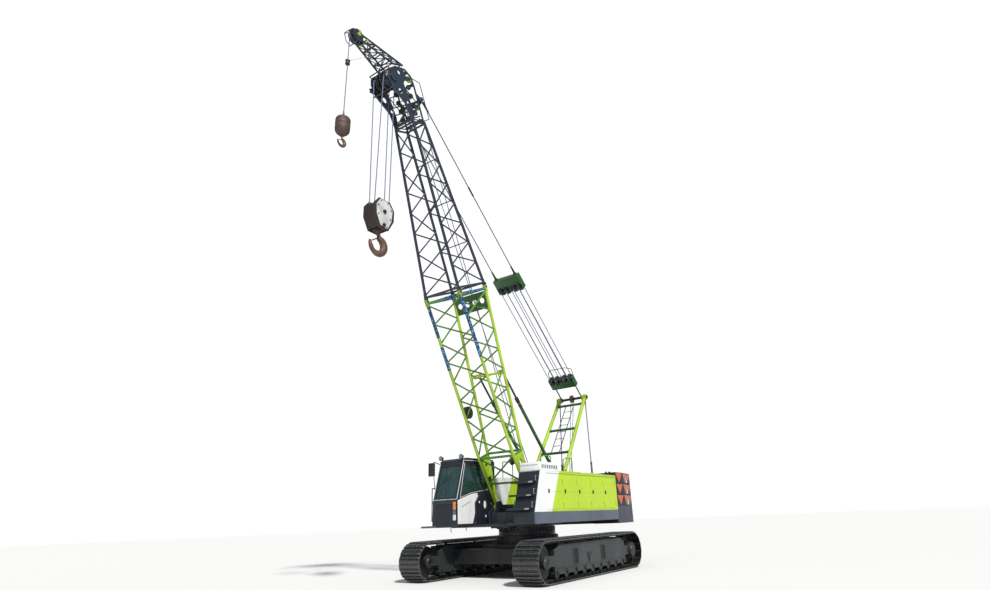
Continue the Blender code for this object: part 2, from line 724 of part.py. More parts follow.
def upper_works():
    """Frame, ring, houses with their doors, engine, steps, counterweight and winches."""
    node("revolving_frame", revolving_frame(), "grey")
    ring = rod((0, 0, BODY_TOP + RUN_GAP), (0, 0, DECK_BOTTOM - SEAT_GAP), RING_RADIUS, 36)
    node("slew_ring", ring, "steel")
    left = shell_with_doors(1, DECK_FRONT, LEFT_DOOR_SEAMS, LEFT_FRONT_FOOT, LEFT_FRONT_TOP)
    node("left_house", left, "lime")
    node("right_house", shell_with_doors(-1, RIGHT_FRONT, RIGHT_DOOR_SEAMS), "lime")
    for number, seams in enumerate(zip(LEFT_DOOR_SEAMS, LEFT_DOOR_SEAMS[1:]), 1):
        pivot = hinge_point(seams[1], DOOR_BOTTOM)
        node(f"left_door_{number}", side_door(*seams), "lime", pivot)
    for number, seams in enumerate(zip(RIGHT_DOOR_SEAMS, RIGHT_DOOR_SEAMS[1:]), 1):
        x, y, z = hinge_point(seams[1], DOOR_BOTTOM)
        node(f"right_door_{number}", flipped(side_door(*seams)), "lime", (-x, y, z))
    x0, x1, y0, y1, z1 = ENGINE
    node("engine_block", box((x0, x1), (y0, y1), (DECK_BOTTOM + DECK_PLATE + SEAT_GAP, z1)), "steel")
    node("front_steps", front_steps(), "navy")
    node("counterweight", counterweight(), "navy")
    for name, y in DRUM_YS.items():
        node(name, drum(y), "dark_green", (0, y, DRUM_Z))


# ---------------------------------------------------------------- cab

def cab_outline(inset):
    """The cab's side profile, moved inwards by a wall."""
    floor, roof = CAB_FLOOR + SEAT_GAP + inset, CAB_TOP - inset
    return [(CAB_FRONT + inset, floor), (CAB_FRONT + 0.02 + inset, CAB_SILL),
            (CAB_FRONT + 0.34 + inset, roof - 0.06), (CAB_FRONT + 0.44 + inset, roof),
            (CAB_REAR - 0.08 - inset, roof), (CAB_REAR - inset, roof - 0.08), (CAB_REAR - inset, floor)]


def cab_shell():
    """The hollow cab with its windows and its doorway cut."""
    outer = plate(cab_outline(0.0), (CAB_OUTER, CAB_INNER))
    inside = plate(cab_outline(CAB_WALL), (CAB_OUTER + CAB_WALL, CAB_INNER - CAB_WALL))
    beyond = 0.05
    pane = box((CAB_OUTER + 0.07, CAB_INNER - 0.07), (CAB_FRONT - 0.3, CAB_FRONT + 0.75),
               (CAB_SILL + 0.04, CAB_TOP - 0.20))
    side = plate([(CAB_FRONT + 0.13, CAB_SILL + 0.08), (CAB_FRONT + 0.36, CAB_TOP - 0.18),
                  (CAB_REAR - 0.55, CAB_TOP - 0.18), (CAB_REAR - 0.40, CAB_TOP - 0.35),
                  (CAB_REAR - 0.40, CAB_SILL + 0.32), (CAB_FRONT + 0.60, CAB_SILL + 0.22)],
                 (CAB_INNER - CAB_WALL - beyond, CAB_INNER + beyond))
    doorway = box((CAB_OUTER - beyond, CAB_OUTER + CAB_WALL + beyond),
                  (DOOR_SPAN[0] + 0.04, DOOR_SPAN[1] - 0.04), (CAB_FLOOR + 0.12, CAB_TOP - 0.16))
    rear = box((CAB_OUTER + 0.14, CAB_INNER - 0.14), (CAB_REAR - 0.2, CAB_REAR + 0.1),
               (CAB_SILL + 0.30, CAB_TOP - 0.22))
    return cut(outer, [inside, pane, side, doorway, rear])


def cab_door():
    """The sliding door on the cab's outer side, with its window cut."""
    x = CAB_OUTER - SEAT_GAP
    low, high = CAB_FLOOR + 0.08, CAB_TOP - 0.12
    opening = [(DOOR_SPAN[0] + 0.10, CAB_SILL), (DOOR_SPAN[1] - 0.08, CAB_SILL),
               (DOOR_SPAN[1] - 0.08, high - 0.10), (DOOR_SPAN[0] + 0.10, high - 0.10)]
    outline = [(DOOR_SPAN[0], low), (DOOR_SPAN[1], low), (DOOR_SPAN[1], high), (DOOR_SPAN[0], high)]
    return plate(outline, (x - DOOR_THICK, x - RUN_GAP), [opening])


def cab_seat():
    """The operator's seat on its base, with a back and a headrest."""
    middle = (CAB_OUTER + CAB_INNER) / 2
    low = CAB_FLOOR + CAB_WALL + 2 * SEAT_GAP
    pieces = [box((middle - 0.20, middle + 0.20), (-1.30, -0.90), (low, low + 0.30)),
              box((middle - 0.26, middle + 0.26), (-1.40, -0.84), (low + 0.28, low + 0.44)),
              plate([(-0.96, low + 0.40), (-0.82, low + 0.40), (-0.68, low + 1.05), (-0.80, low + 1.05)],
                    (middle - 0.25, middle + 0.25)),
              box((middle - 0.14, middle + 0.14), (-0.80, -0.70), (low + 1.02, low + 1.22))]
    return union(pieces)


def cab():
    """The cab, its sliding door and its seat."""
    node("cab_shell", cab_shell(), "navy")
    node("cab_door", cab_door(), "navy", (CAB_OUTER, DOOR_SPAN[0], CAB_FLOOR))
    node("cab_seat", cab_seat(), "fabric")


# ---------------------------------------------------------------- boom

def half_width(s):
    """Half of the boom's width between chord centres."""
    if s <= BASE_LENGTH:
        return BOOM_HALF_WIDTH
    share = (s - BASE_LENGTH) / (TOP_END - BASE_LENGTH)
    return BOOM_HALF_WIDTH + share * (TOP_HALF_WIDTH - BOOM_HALF_WIDTH)


def half_depth(s):
    """Half of the boom's depth between chord centres."""
    if s <= KNEE:
        return KNEE_HALF_DEPTH * s / KNEE
    if s <= BASE_LENGTH:
        share = (s - KNEE) / (BASE_LENGTH - KNEE)
        return KNEE_HALF_DEPTH + share * (JOINT_HALF_DEPTH - KNEE_HALF_DEPTH)
    share = (s - BASE_LENGTH) / (TOP_END - BASE_LENGTH)
    return JOINT_HALF_DEPTH + share * (TOP_HALF_DEPTH - JOINT_HALF_DEPTH)


CORNERS = ((-1, -1), (1, -1), (1, 1), (-1, 1))


def chord_point(corner, s):
    """A point on one of the four chords, in the boom's frame (x, s, t)."""
    across, back = corner
    return Vector((across * half_width(s), s, back * half_depth(s)))


def lacing(first, last, bays, radius=BRACE_RADIUS):
    """Zigzag braces on all four faces, each face starting where its neighbour doesn't."""
    pieces = []
    pitch = (last - first) / bays
    for face in range(4):
        pair = CORNERS[face], CORNERS[(face + 1) % 4]
        for bay in range(bays):
            start = chord_point(pair[bay % 2], first + bay * pitch)
            end = chord_point(pair[(bay + 1) % 2], first + (bay + 1) * pitch)
            pieces.append(rod(start, end, radius, 4))
    return pieces


def ring_of_bars(s, radius):
    """Four bars between the chords at one place along the boom."""
    return [rod(chord_point(CORNERS[face], s), chord_point(CORNERS[(face + 1) % 4], s), radius, 4)
            for face in range(4)]


def boom_base():
    """The foot section: converging legs, knee plates, four chords and their lacing."""
    last = BASE_LENGTH - SEAT_GAP / 2
    pieces = []
    for corner in CORNERS:
        for start, end in ((KNEE - 0.02, last + 0.02), (0.06, KNEE + 0.02)):
            pieces.append(rod(chord_point(corner, start), chord_point(corner, end), CHORD_RADIUS, 6))
    pieces += lacing(KNEE + 0.06, BASE_LENGTH - 0.16, BASE_BAYS)
    pieces += ring_of_bars(KNEE, 0.035) + ring_of_bars(BASE_LENGTH - 0.10, 0.035)
    pieces.append(rod((-BOOM_HALF_WIDTH, 0.75, -half_depth(0.75)),
                      (BOOM_HALF_WIDTH, 0.75, -half_depth(0.75)), 0.03, 6))
    for side in (-1, 1):
        x = side * BOOM_HALF_WIDTH
        pieces.append(rod((x, 0.75, -half_depth(0.75)), (-x, KNEE, -half_depth(KNEE)), BRACE_RADIUS, 6))
        pieces.append(rod((x - CHORD_RADIUS, 0, 0), (x + CHORD_RADIUS, 0, 0), FOOT_BOSS_RADIUS, 20))
        knee = [(0.95, -half_depth(0.95)), (KNEE, -half_depth(KNEE)), (KNEE, half_depth(KNEE)),
                (0.95, half_depth(0.95))]
        pieces.append(plate(knee, (x - 0.02, x + 0.02), [circle((1.30, 0.02), 0.07, 12)]))
        pieces.append(plate([(0, -0.06), (0.5, -half_depth(0.5)), (0.5, half_depth(0.5)), (0, 0.06)],
                            (x - 0.025, x + 0.025)))
    stop_s, stop_t = STOP_HEAD
    back = half_depth(stop_s)
    pieces.append(rod((-BOOM_HALF_WIDTH, stop_s, back), (BOOM_HALF_WIDTH, stop_s, back), 0.035, 8))
    for side in (-1, 1):
        for offset in (-1, 1):
            x = side * STOP_X + offset * 0.050
            ear = ([(stop_s - 0.06, back), (stop_s + 0.06, back)] + arc((stop_s, stop_t), 0.06, 0, 180, 6))
            pieces.append(plate(ear, (x - 0.011, x + 0.011)))
    panel_t = half_depth(6.05)
    panel = box((-BOOM_HALF_WIDTH, BOOM_HALF_WIDTH), (5.82, 6.34), (panel_t - 0.02, panel_t))
    pieces.append(panel)
    made = union(pieces)
    holes = [rod((x, 6.08, panel_t - 0.2), (x, 6.08, panel_t + 0.2), 0.085, 8)
             for x in (-0.42, -0.14, 0.14, 0.42)]
    bores = [rod((side * BOOM_HALF_WIDTH - 0.2, 0, 0), (side * BOOM_HALF_WIDTH + 0.2, 0, 0),
                 bore_for(PIN_RADIUS, 16), 16) for side in (-1, 1)]
    return cut(made, holes + bores + [beyond(last, 0.2)])


def beyond(s, reach):
    """A cutter that squares off the boom's chords at s, towards the head or, if negative, the foot."""
    return box((-1, 1), sorted((s, s + reach)), (-1, 1))


def boom_top():
    """The tapering top section with four chords and their lacing."""
    first = BASE_LENGTH + SEAT_GAP / 2
    last = TOP_END - SEAT_GAP / 2
    radius = CHORD_RADIUS - 0.003
    pieces = [rod(chord_point(corner, first - 0.02), chord_point(corner, last + 0.02), radius, 6)
              for corner in CORNERS]
    pieces += lacing(BASE_LENGTH + 0.14, TOP_END - 0.10, TOP_BAYS, BRACE_RADIUS - 0.002)
    pieces += ring_of_bars(BASE_LENGTH + 0.08, 0.032) + ring_of_bars(TOP_END - 0.05, 0.03)
    return cut(union(pieces), [beyond(first, -0.2), beyond(last, 0.2)])


def boom_head():
    """Two side plates joined by cross members, with the head shaft and the stay pins."""
    first = TOP_END + SEAT_GAP / 2
    s0, t0 = HEAD_SHAFT
    x = TOP_HALF_WIDTH
    profile = [(first, -TOP_HALF_DEPTH - 0.05), (s0 - 0.75, -TOP_HALF_DEPTH - 0.12),
               (s0 - 0.30, t0 - 0.20), (s0, t0 - 0.26), (s0 + 0.24, t0 - 0.14), (HEAD_END, t0 + 0.20),
               (HEAD_END + 0.05, 0.02), (HEAD_END - 0.20, 0.30), (STAY_PIN[0] + 0.15, STAY_PIN[1] + 0.06),
               (STAY_PIN[0] - 0.12, STAY_PIN[1] + 0.08), (first, TOP_HALF_DEPTH + 0.05)]
    hole = circle((12.35, -0.06), 0.13, 12)
    pieces = both_sides([plate(profile, (x - 0.03, x), [hole])])
    bars = [(first + 0.06, TOP_HALF_DEPTH - 0.02, 0.05), (first + 0.06, -TOP_HALF_DEPTH + 0.02, 0.05),
            (HEAD_END - 0.12, 0.05, 0.06), (12.75, 0.20, 0.04), (11.95, 0.28, 0.04)]
    pieces += [rod((-x + 0.01, s, t), (x - 0.01, s, t), radius, 8) for s, t, radius in bars]
    pieces.append(box((-x + 0.012, x - 0.012), (first + 0.16, 12.16), (0.20, 0.23)))
    stay_s, stay_t = STAY_PIN
    pieces.append(rod((-x - 0.08, stay_s, stay_t), (x + 0.08, stay_s, stay_t), PIN_STAY_RADIUS, 12))
    return union(pieces)


def sheave_profile(x, radius, half, core):
    """One grooved wheel on a core, as (x, radius) points from its right side to its left."""
    groove = radius - ROPE_RADIUS - ROPE_SEAT
    flat = half * 0.4
    return [(x + half, core), (x + half, radius + SHEAVE_RIM), (x + flat, groove), (x - flat, groove),
            (x - half, radius + SHEAVE_RIM), (x - half, core)]


def sheaves(places, radius, width, core, end, centre, steps=16):
    """Grooved wheels side by side on one core."""
    profile = [(end, 0), (end, core)]
    for x in sorted(places, reverse=True):
        profile += sheave_profile(x, radius, width / 2, core)
    profile += [(-end, core), (-end, 0)]
    return turned(profile, centre, steps)


def boom_tip():
    """The short lattice arm ahead of the head, which carries the tip sheave."""
    s0, t0 = TIP_SHAFT
    root = [(HEAD_END + 0.08, 0.02), (HEAD_END + 0.04, HEAD_SHAFT[1] + 0.18)]
    half = 0.30
    near = 0.11
    pieces = []
    for side in (-1, 1):
        for (s, t), (ds, dt) in zip(root, ((0.02, 0.16), (-0.12, 0.02))):
            pieces.append(rod((side * half, s + 0.03, t), (side * near, s0 + ds, t0 + dt), 0.028, 6))
        pieces.append(rod((side * half, root[0][0] + 0.03, root[0][1]),
                          (side * half, root[1][0] + 0.03, root[1][1]), 0.028, 6))
        cheek = circle((s0, t0), 0.17, 10)
        pieces.append(plate(cheek, (side * near - 0.012, side * near + 0.012)))
    for share in (0.02, 0.35, 0.68):
        for (s, t), (ds, dt) in zip(root, ((0.02, 0.16), (-0.12, 0.02))):
            x = half + share * (near - half)
            place = (s + 0.03 + share * (s0 + ds - s - 0.03), t + share * (t0 + dt - t))
            pieces.append(rod((-x, *place), (x, *place), 0.02, 4))
    return union(pieces)


def boom():
    """The boom's sections and its two sets of sheaves."""
    node("boom_base", boom_base(), "lime", parent=BOOM)
    node("boom_top", boom_top(), "navy", parent=BOOM)
    node("boom_head", boom_head(), "navy", parent=BOOM)
    node("boom_tip", boom_tip(), "navy", parent=BOOM)
    end = TOP_HALF_WIDTH - 0.03 - RUN_GAP
    places = (-3 * SHEAVE_X, -SHEAVE_X, SHEAVE_X, 3 * SHEAVE_X)
    head = sheaves(places, SHEAVE_RADIUS, SHEAVE_WIDTH, 0.07, end, (0, *HEAD_SHAFT))
    node("head_sheaves", head, "black", (0, *HEAD_SHAFT), BOOM)
    tip = sheaves((0,), TIP_RADIUS, SHEAVE_WIDTH, 0.06, 0.11 - 0.012 - RUN_GAP, (0, *TIP_SHAFT))
    node("tip_sheave", tip, "black", (0, *TIP_SHAFT), BOOM)


# ---------------------------------------------------------------- hook lines

def boom_point(s, t, x=0.0):
    """A point of the boom's frame, in the machine's frame."""
    return Vector((x, FOOT_Y - s * math.cos(BOOM_ANGLE) + t * math.sin(BOOM_ANGLE),
                   FOOT_Z + s * math.sin(BOOM_ANGLE) + t * math.cos(BOOM_ANGLE)))


def main_rope(x):
    """Two falls and the turn under one sheave of the hook block."""
    top = boom_point(*HEAD_SHAFT)
    low = top.z - BLOCK_SHAFT_DROP
    turn = [(x, top.y + y, z) for y, z in arc((0, low), SHEAVE_RADIUS, 180, 360, 14)]
    ends = [(x, top.y - SHEAVE_RADIUS, top.z), (x, top.y + SHEAVE_RADIUS, top.z)]
    return tube_along([ends[0], *turn, ends[1]], ROPE_RADIUS)


def hook_block(centre):
    """Two cheek plates with spacers, and the trunnion that the hook's shank turns in."""
    y, z = centre.y, centre.z
    half = SHEAVE_RADIUS + SHEAVE_RIM + BLOCK_MARGIN
    shoulder, waist = 0.19, 0.17
    cheek = [(y - half, z + 0.15), (y - shoulder, z + BLOCK_TOP), (y + shoulder, z + BLOCK_TOP),
             (y + half, z + 0.15), (y + half, z - 0.16), (y + waist, z - BLOCK_FOOT),
             (y - waist, z - BLOCK_FOOT), (y - half, z - 0.16)]
    thick = BLOCK_HALF_THICK
    inside = thick - BLOCK_PLATE / 2
    pieces = both_sides([plate(cheek, (thick - BLOCK_PLATE, thick))])
    edge = half - BLOCK_SPACER - 0.005
    for dy, dz in ((-edge, 0.0), (edge, 0.0), (-waist, -BLOCK_FOOT + 0.04), (waist, -BLOCK_FOOT + 0.04)):
        pieces.append(rod((-inside, y + dy, z + dz), (inside, y + dy, z + dz), BLOCK_SPACER, 8))
    pieces.append(box((-inside, inside), (y - 0.10, y + 0.10), (z - TRUNNION_FOOT, z - TRUNNION_TOP)))
    return union(pieces)


def hook(centre, size, shank_top):
    """A single hook under its shank, as one tapering bent bar."""
    x, y, z = centre
    bowl = [(y + size * (0.5 * math.cos(math.radians(a))), z + size * (0.5 * math.sin(math.radians(a))))
            for a in range(70, -161, -23)]
    tip = (y - size * 0.58, z + size * 0.22)
    route = [(x, y, shank_top), (x, y, z + size * 0.85), (x, y + size * 0.06, z + size * 0.62)]
    route += [(x, *place) for place in bowl] + [(x, *tip)]
    radii = [0.55, 0.55, 0.6, 0.75, 0.9, 1.0, 1.05, 1.1, 1.1, 1.05, 0.95, 0.85, 0.75, 0.6, 0.3]
    return tube_along(route, size * 0.19, 2, radii[:len(route)])


def hook_lines():
    """The main hook block on its rope falls, and the auxiliary hook on its own."""
    top = boom_point(*HEAD_SHAFT)
    low = top - Vector((0, 0, BLOCK_SHAFT_DROP))
    node("main_rope_left", main_rope(SHEAVE_X), "steel", top)
    node("main_rope_right", main_rope(-SHEAVE_X), "steel", top)
    node("hook_block", hook_block(low), "white", low)
    end = BLOCK_HALF_THICK - BLOCK_PLATE - RUN_GAP
    wheel = sheaves((-SHEAVE_X, SHEAVE_X), SHEAVE_RADIUS, SHEAVE_WIDTH, 0.07, end, low)
    node("block_sheaves", wheel, "black", low)
    hook_low = low - Vector((0, 0, MAIN_HOOK_DROP))
    main_hook = hook(hook_low, MAIN_HOOK_SIZE, low.z - TRUNNION_FOOT - RUN_GAP)
    node("main_hook", main_hook, "rust", hook_low)
    tip = boom_point(*TIP_SHAFT)
    line_y = tip.y - TIP_RADIUS
    weight_top = tip.z - WEIGHT_DROP
    rope = rod((0, line_y, weight_top + 0.10 + SEAT_GAP), (0, line_y, tip.z), ROPE_RADIUS, 8)
    node("auxiliary_rope", rope, "steel", (0, line_y, tip.z))
    ball = turned([(0.10, 0), (0.10, 0.03), (0.04, 0.05), (0.0, WEIGHT_RADIUS * 0.6),
                   (-0.07, WEIGHT_RADIUS), (0.10 - WEIGHT_HEIGHT, WEIGHT_RADIUS * 0.95),
                   (0.02 - WEIGHT_HEIGHT, WEIGHT_RADIUS * 0.5), (-WEIGHT_HEIGHT, WEIGHT_RADIUS * 0.35),
                   (-WEIGHT_HEIGHT, 0)], (0, 0, 0), 20)
    stand = Matrix(((0, 0, -1), (0, 1, 0), (1, 0, 0))).to_4x4()
    ball.data.transform(Matrix.Translation((0, line_y, weight_top)) @ stand)
    node("auxiliary_weight", ball, "rust", (0, line_y, weight_top))
    hook_at = Vector((0, line_y, weight_top - WEIGHT_HEIGHT - AUXILIARY_HOOK_DROP))
    small_hook = hook(hook_at, AUXILIARY_HOOK_SIZE, weight_top - WEIGHT_HEIGHT - RUN_GAP)
    node("auxiliary_hook", small_hook, "rust", hook_at)


# ---------------------------------------------------------------- gantry, spreaders and stays

def stay_line(distance, off=0.0):
    """A point on the line from the gantry's top to the stay pin, and off that line."""
    top = Vector((0, *GANTRY_TOP))
    along = (boom_point(*STAY_PIN) - top).normalized()
    across = Vector((0, along.z, -along.y))
    return top + along * distance + across * off


def gantry():
    """Two raked legs and two upright ties with cross bars, from the frame's plates to the top shaft."""
    near, far = plate_gap()
    seat = PLATE_TOP + SEAT_GAP
    pieces = []
    top_y, top_z = GANTRY_TOP
    front, rear = GANTRY_FOOT
    for side in (-1, 1):
        foot_x, top_x = side * GANTRY_FOOT_X, side * GANTRY_TOP_X
        for y in (front, rear):
            pieces.append(box(sorted((side * (near - 0.03), side * (far + 0.03))), (y - 0.12, y + 0.12),
                              (seat, seat + 0.10)))
        pieces.append(rod((foot_x, front, seat + 0.03), (top_x, top_y - 0.02, top_z - 0.02), LEG_RADIUS, 8))
        pieces.append(rod((foot_x, rear, seat + 0.03), (top_x, top_y + 0.02, top_z - 0.06), TIE_RADIUS, 6))
        pieces.append(rod((top_x - TOP_BOSS_HALF, top_y, top_z), (top_x + TOP_BOSS_HALF, top_y, top_z),
                          0.10, 12))
    pieces.append(rod((-GANTRY_TOP_X, top_y, top_z), (GANTRY_TOP_X, top_y, top_z), TOP_SHAFT_RADIUS, 12))
    for share in (0.93, 0.67, 0.44):
        y = front + share * (top_y - front)
        z = seat + share * (top_z - seat)
        x = GANTRY_FOOT_X + share * (GANTRY_TOP_X - GANTRY_FOOT_X)
        pieces.append(rod((-x, y, z), (x, y, z), 0.045, 8))
    return union(pieces)


def spreader_box(distance, length, depth, half):
    """A plated frame across the stay line, as a tilted box."""
    made = box((-half, half), (-length / 2, length / 2), (-depth / 2, depth / 2))
    along = (boom_point(*STAY_PIN) - Vector((0, *GANTRY_TOP)))
    tilt = Matrix.Rotation(math.atan2(along.z, along.y), 4, "X")
    made.data.transform(Matrix.Translation(stay_line(distance)) @ tilt)
    return made


def sheave_frame(frame_at, frame_size, cheek_at, cheek_size, shaft_at, rim):
    """A plated frame with four cheeks, and a shaft with two banks of sheaves for the luffing rope."""
    pieces = [spreader_box(frame_at, *frame_size, SPREADER_HALF)]
    for x in (-SPREADER_HALF + 0.015, -0.02, 0.02, SPREADER_HALF - 0.015):
        cheek = spreader_box(cheek_at, *cheek_size, 0.012)
        cheek.data.transform(Matrix.Translation((x, 0, 0)))
        pieces.append(cheek)
    shaft = stay_line(shaft_at)
    end = Vector((SPREADER_HALF + 0.02, 0, 0))
    pieces.append(rod(shaft - end, shaft + end, SPREADER_SHAFT, 10))
    half = SPREADER_CORE_HALF
    profile = [(half, 0), (half, rim), (0.10, rim - 0.03), (-0.10, rim - 0.03), (-half, rim), (-half, 0)]
    for side in (-1, 1):
        pieces.append(turned(profile, shaft + Vector((side * SPREADER_CORE_X, 0, 0)), 14))
    return union(pieces)


def upper_spreader():
    """The frame between the luffing rope and the stays."""
    at = UPPER_SPREADER_AT
    return sheave_frame(at + 0.12, (0.34, 0.22), at - 0.10, (0.32, 0.22), at - 0.14, 0.19)


def lower_spreader():
    """The bail over the gantry's top, with links down to the top shaft."""
    at = LOWER_SPREADER_AT
    made = sheave_frame(at - 0.08, (0.28, 0.20), at + 0.08, (0.28, 0.20), at + 0.12, 0.17)
    top_y, top_z = GANTRY_TOP
    link_x = GANTRY_TOP_X - TOP_BOSS_HALF - BAIL_EYE_HALF - 0.013
    half = Vector((BAIL_EYE_HALF, 0, 0))
    links, bores = [], []
    for side in (-1, 1):
        pin = Vector((side * link_x, top_y, top_z))
        end = stay_line(at - 0.15) + Vector((side * link_x, 0, 0))
        links.append(rod(pin, end, 0.022, 6))
        links.append(rod(pin - half, pin + half, 0.075, 12))
        bores.append(rod(pin - half * 2, pin + half * 2, bore_for(TOP_SHAFT_RADIUS, 12), 12))
    return cut(union([made] + links), bores)


def stay(side):
    """One suspension rope from the upper spreader to the pin on the boom's head."""
    x = side * (TOP_HALF_WIDTH + STAY_BESIDE)
    pin = boom_point(*STAY_PIN, x)
    foot = stay_line(UPPER_SPREADER_AT + 0.29 + SEAT_GAP) + Vector((x, 0, 0))
    back = (pin - foot).normalized() * 0.06
    pieces = [rod(foot, pin - back * 0.8, STAY_RADIUS, 8),
              rod(pin - Vector((0.02, 0, 0)), pin + Vector((0.02, 0, 0)), 0.07, 14)]
    made = union(pieces)
    reach = Vector((0.05, 0, 0))
    return cut(made, [rod(pin - reach, pin + reach, bore_for(PIN_STAY_RADIUS, 12), 12)])


def rigging():
    """Gantry, spreaders and stays."""
    pin = boom_point(*STAY_PIN)
    top = Vector((0, *GANTRY_TOP))
    node("gantry", gantry(), "lime")
    node("upper_spreader", upper_spreader(), "dark_green", pin)
    node("lower_spreader", lower_spreader(), "dark_green", top)
    node("left_stay", stay(1), "steel", pin)
    node("right_stay", stay(-1), "steel", pin)


# ---------------------------------------------------------------- backstops

def backstop_tube(side):
    """The outer tube of a backstop, pinned to the frame and bored for its rod."""
    foot = Vector((side * STOP_X, *STOP_FOOT))
    head = boom_point(*STOP_HEAD, side * STOP_X)
    along = (head - foot).normalized()
    end = foot + along * STOP_TUBE_LENGTH
    across = Vector((0.028, 0, 0))
    barrel = union([rod(foot + along * 0.03, end, STOP_RADIUS, 12),
                    rod(foot - across, foot + across, 0.07, 14)])
    deepest = end - along * (STOP_TUBE_LENGTH - 0.35)
    bore = rod(deepest, end + along * 0.1, bore_for(STOP_ROD_RADIUS, 12), 12)
    pin = rod(foot - across * 2, foot + across * 2, bore_for(STOP_FOOT_PIN, 12), 12)
    return cut(barrel, [bore, pin])


def backstop_rod(side):
    """The sliding rod of a backstop, pinned to the boom's cross bar."""
    foot = Vector((side * STOP_X, *STOP_FOOT))
    head = boom_point(*STOP_HEAD, side * STOP_X)
    along = (head - foot).normalized()
    start = foot + along * (STOP_TUBE_LENGTH - STOP_ROD_HIDDEN)
    across = Vector((0.02, 0, 0))
    made = union([rod(start, head - along * 0.03, STOP_ROD_RADIUS, 12),
                  rod(head - across, head + across, 0.045, 12)])
    return cut(made, [rod(head - across * 2, head + across * 2, bore_for(STOP_HEAD_PIN, 12), 12)])


def backstops():
    """Both telescopic backstops."""
    for side, word in ((1, "left"), (-1, "right")):
        foot = (side * STOP_X, *STOP_FOOT)
        node(f"{word}_backstop_tube", backstop_tube(side), "lime", foot)
        node(f"{word}_backstop_rod", backstop_rod(side), "steel", foot)


# ---------------------------------------------------------------- everything

def stand_on_floor():
    """Move the machine so that its bounding box is centred over the origin, on the floor."""
    bpy.context.view_layer.update()
    corners = [thing.matrix_world @ corner.co for thing in CRANE.objects if thing.type == "MESH"
               for corner in thing.data.vertices]
    low = Vector([min(place[axis] for place in corners) for axis in range(3)])
    high = Vector([max(place[axis] for place in corners) for axis in range(3)])
    MACHINE.location = (-(low.x + high.x) / 2, -(low.y + high.y) / 2, -low.z)
    bpy.context.view_layer.update()


clear_scene()
CRANE = collection("crawler_crane")
MACHINE = bpy.data.objects.new("machine", None)
CRANE.objects.link(MACHINE)
BOOM = bpy.data.objects.new("boom_pivot", None)
CRANE.objects.link(BOOM)
BOOM.parent = MACHINE
BOOM.location = (0, FOOT_Y, FOOT_Z)
BOOM.rotation_euler = (BOOM_ANGLE, 0, math.pi)

undercarriage()
upper_works()
cab()
boom()
hook_lines()
rigging()
backstops()
stand_on_floor()
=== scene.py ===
"""Crawler crane with a lattice boom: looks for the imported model, in metres, in its frame."""

import json
import math

import bmesh
import bpy
from mathutils import Matrix, Vector

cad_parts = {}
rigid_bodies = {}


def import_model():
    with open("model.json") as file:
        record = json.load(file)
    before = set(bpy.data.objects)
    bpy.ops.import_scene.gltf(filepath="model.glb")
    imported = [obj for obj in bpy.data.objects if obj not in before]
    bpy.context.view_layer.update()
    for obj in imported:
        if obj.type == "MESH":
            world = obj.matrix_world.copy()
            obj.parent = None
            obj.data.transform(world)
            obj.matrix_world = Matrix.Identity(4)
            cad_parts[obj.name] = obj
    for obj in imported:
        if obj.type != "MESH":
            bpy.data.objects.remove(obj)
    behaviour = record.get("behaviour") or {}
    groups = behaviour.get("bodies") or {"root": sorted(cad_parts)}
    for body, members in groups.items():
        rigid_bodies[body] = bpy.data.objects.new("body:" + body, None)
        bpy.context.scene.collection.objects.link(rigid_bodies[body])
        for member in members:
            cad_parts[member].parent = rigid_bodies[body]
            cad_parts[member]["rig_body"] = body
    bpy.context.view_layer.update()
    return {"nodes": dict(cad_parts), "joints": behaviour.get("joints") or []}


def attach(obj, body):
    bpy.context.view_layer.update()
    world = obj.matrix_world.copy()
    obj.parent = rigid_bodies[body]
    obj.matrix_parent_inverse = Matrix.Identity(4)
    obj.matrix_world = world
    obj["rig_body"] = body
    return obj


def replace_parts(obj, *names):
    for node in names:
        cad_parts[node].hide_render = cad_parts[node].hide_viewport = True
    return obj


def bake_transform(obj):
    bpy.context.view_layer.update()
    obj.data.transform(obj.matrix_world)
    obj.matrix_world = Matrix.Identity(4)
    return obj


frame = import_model()
joints = {joint["name"]: joint for joint in frame["joints"]}
scene = bpy.context.scene

# ---------------------------------------------------------------- camera, floor and light
# A viewer of ordinary height stands at the crane's front left and looks up along the boom.  The
# floor is pale and plain, and one large high lamp with a bright room round it lights the crane.

camera = bpy.data.objects.new("camera", bpy.data.cameras.new("camera"))
scene.collection.objects.link(camera)
yaw, pitch, roll = (math.radians(degrees) for degrees in (124.004, 20.326, -2.331))
ahead = Vector((math.cos(yaw) * math.cos(pitch), math.sin(yaw) * math.cos(pitch), math.sin(pitch)))
level = Vector((math.sin(yaw), -math.cos(yaw), 0))
above = level.cross(ahead)
right = level * math.cos(roll) + above * math.sin(roll)
up = above * math.cos(roll) - level * math.sin(roll)
camera.matrix_world = Matrix.Translation((10.30, -13.71,
                                          1.553)) @ Matrix((right, up, -ahead)).transposed().to_4x4()
camera.data.sensor_width = 36.0
camera.data.lens = 21.04
camera.data.shift_x = -0.0209
camera.data.shift_y = 0.0085
scene.camera = camera
scene.view_settings.view_transform = "Standard"


def add_node(tree, kind, *values, **settings):
    """A shader node with values or links for its inputs in order, and its settings by name."""
    made = tree.nodes.new("ShaderNode" + kind)
    for key, value in settings.items():
        if not key.startswith("in_"):
            setattr(made, key, value)
    named = {key[3:].replace("_", " "): value for key, value in settings.items() if key.startswith("in_")}
    for socket, value in list(zip(made.inputs, values)) + [(made.inputs[key], value)
                                                           for key, value in named.items()]:
        if isinstance(value, bpy.types.NodeSocket):
            tree.links.new(value, socket)
        elif value is not None:
            socket.default_value = value
    return made


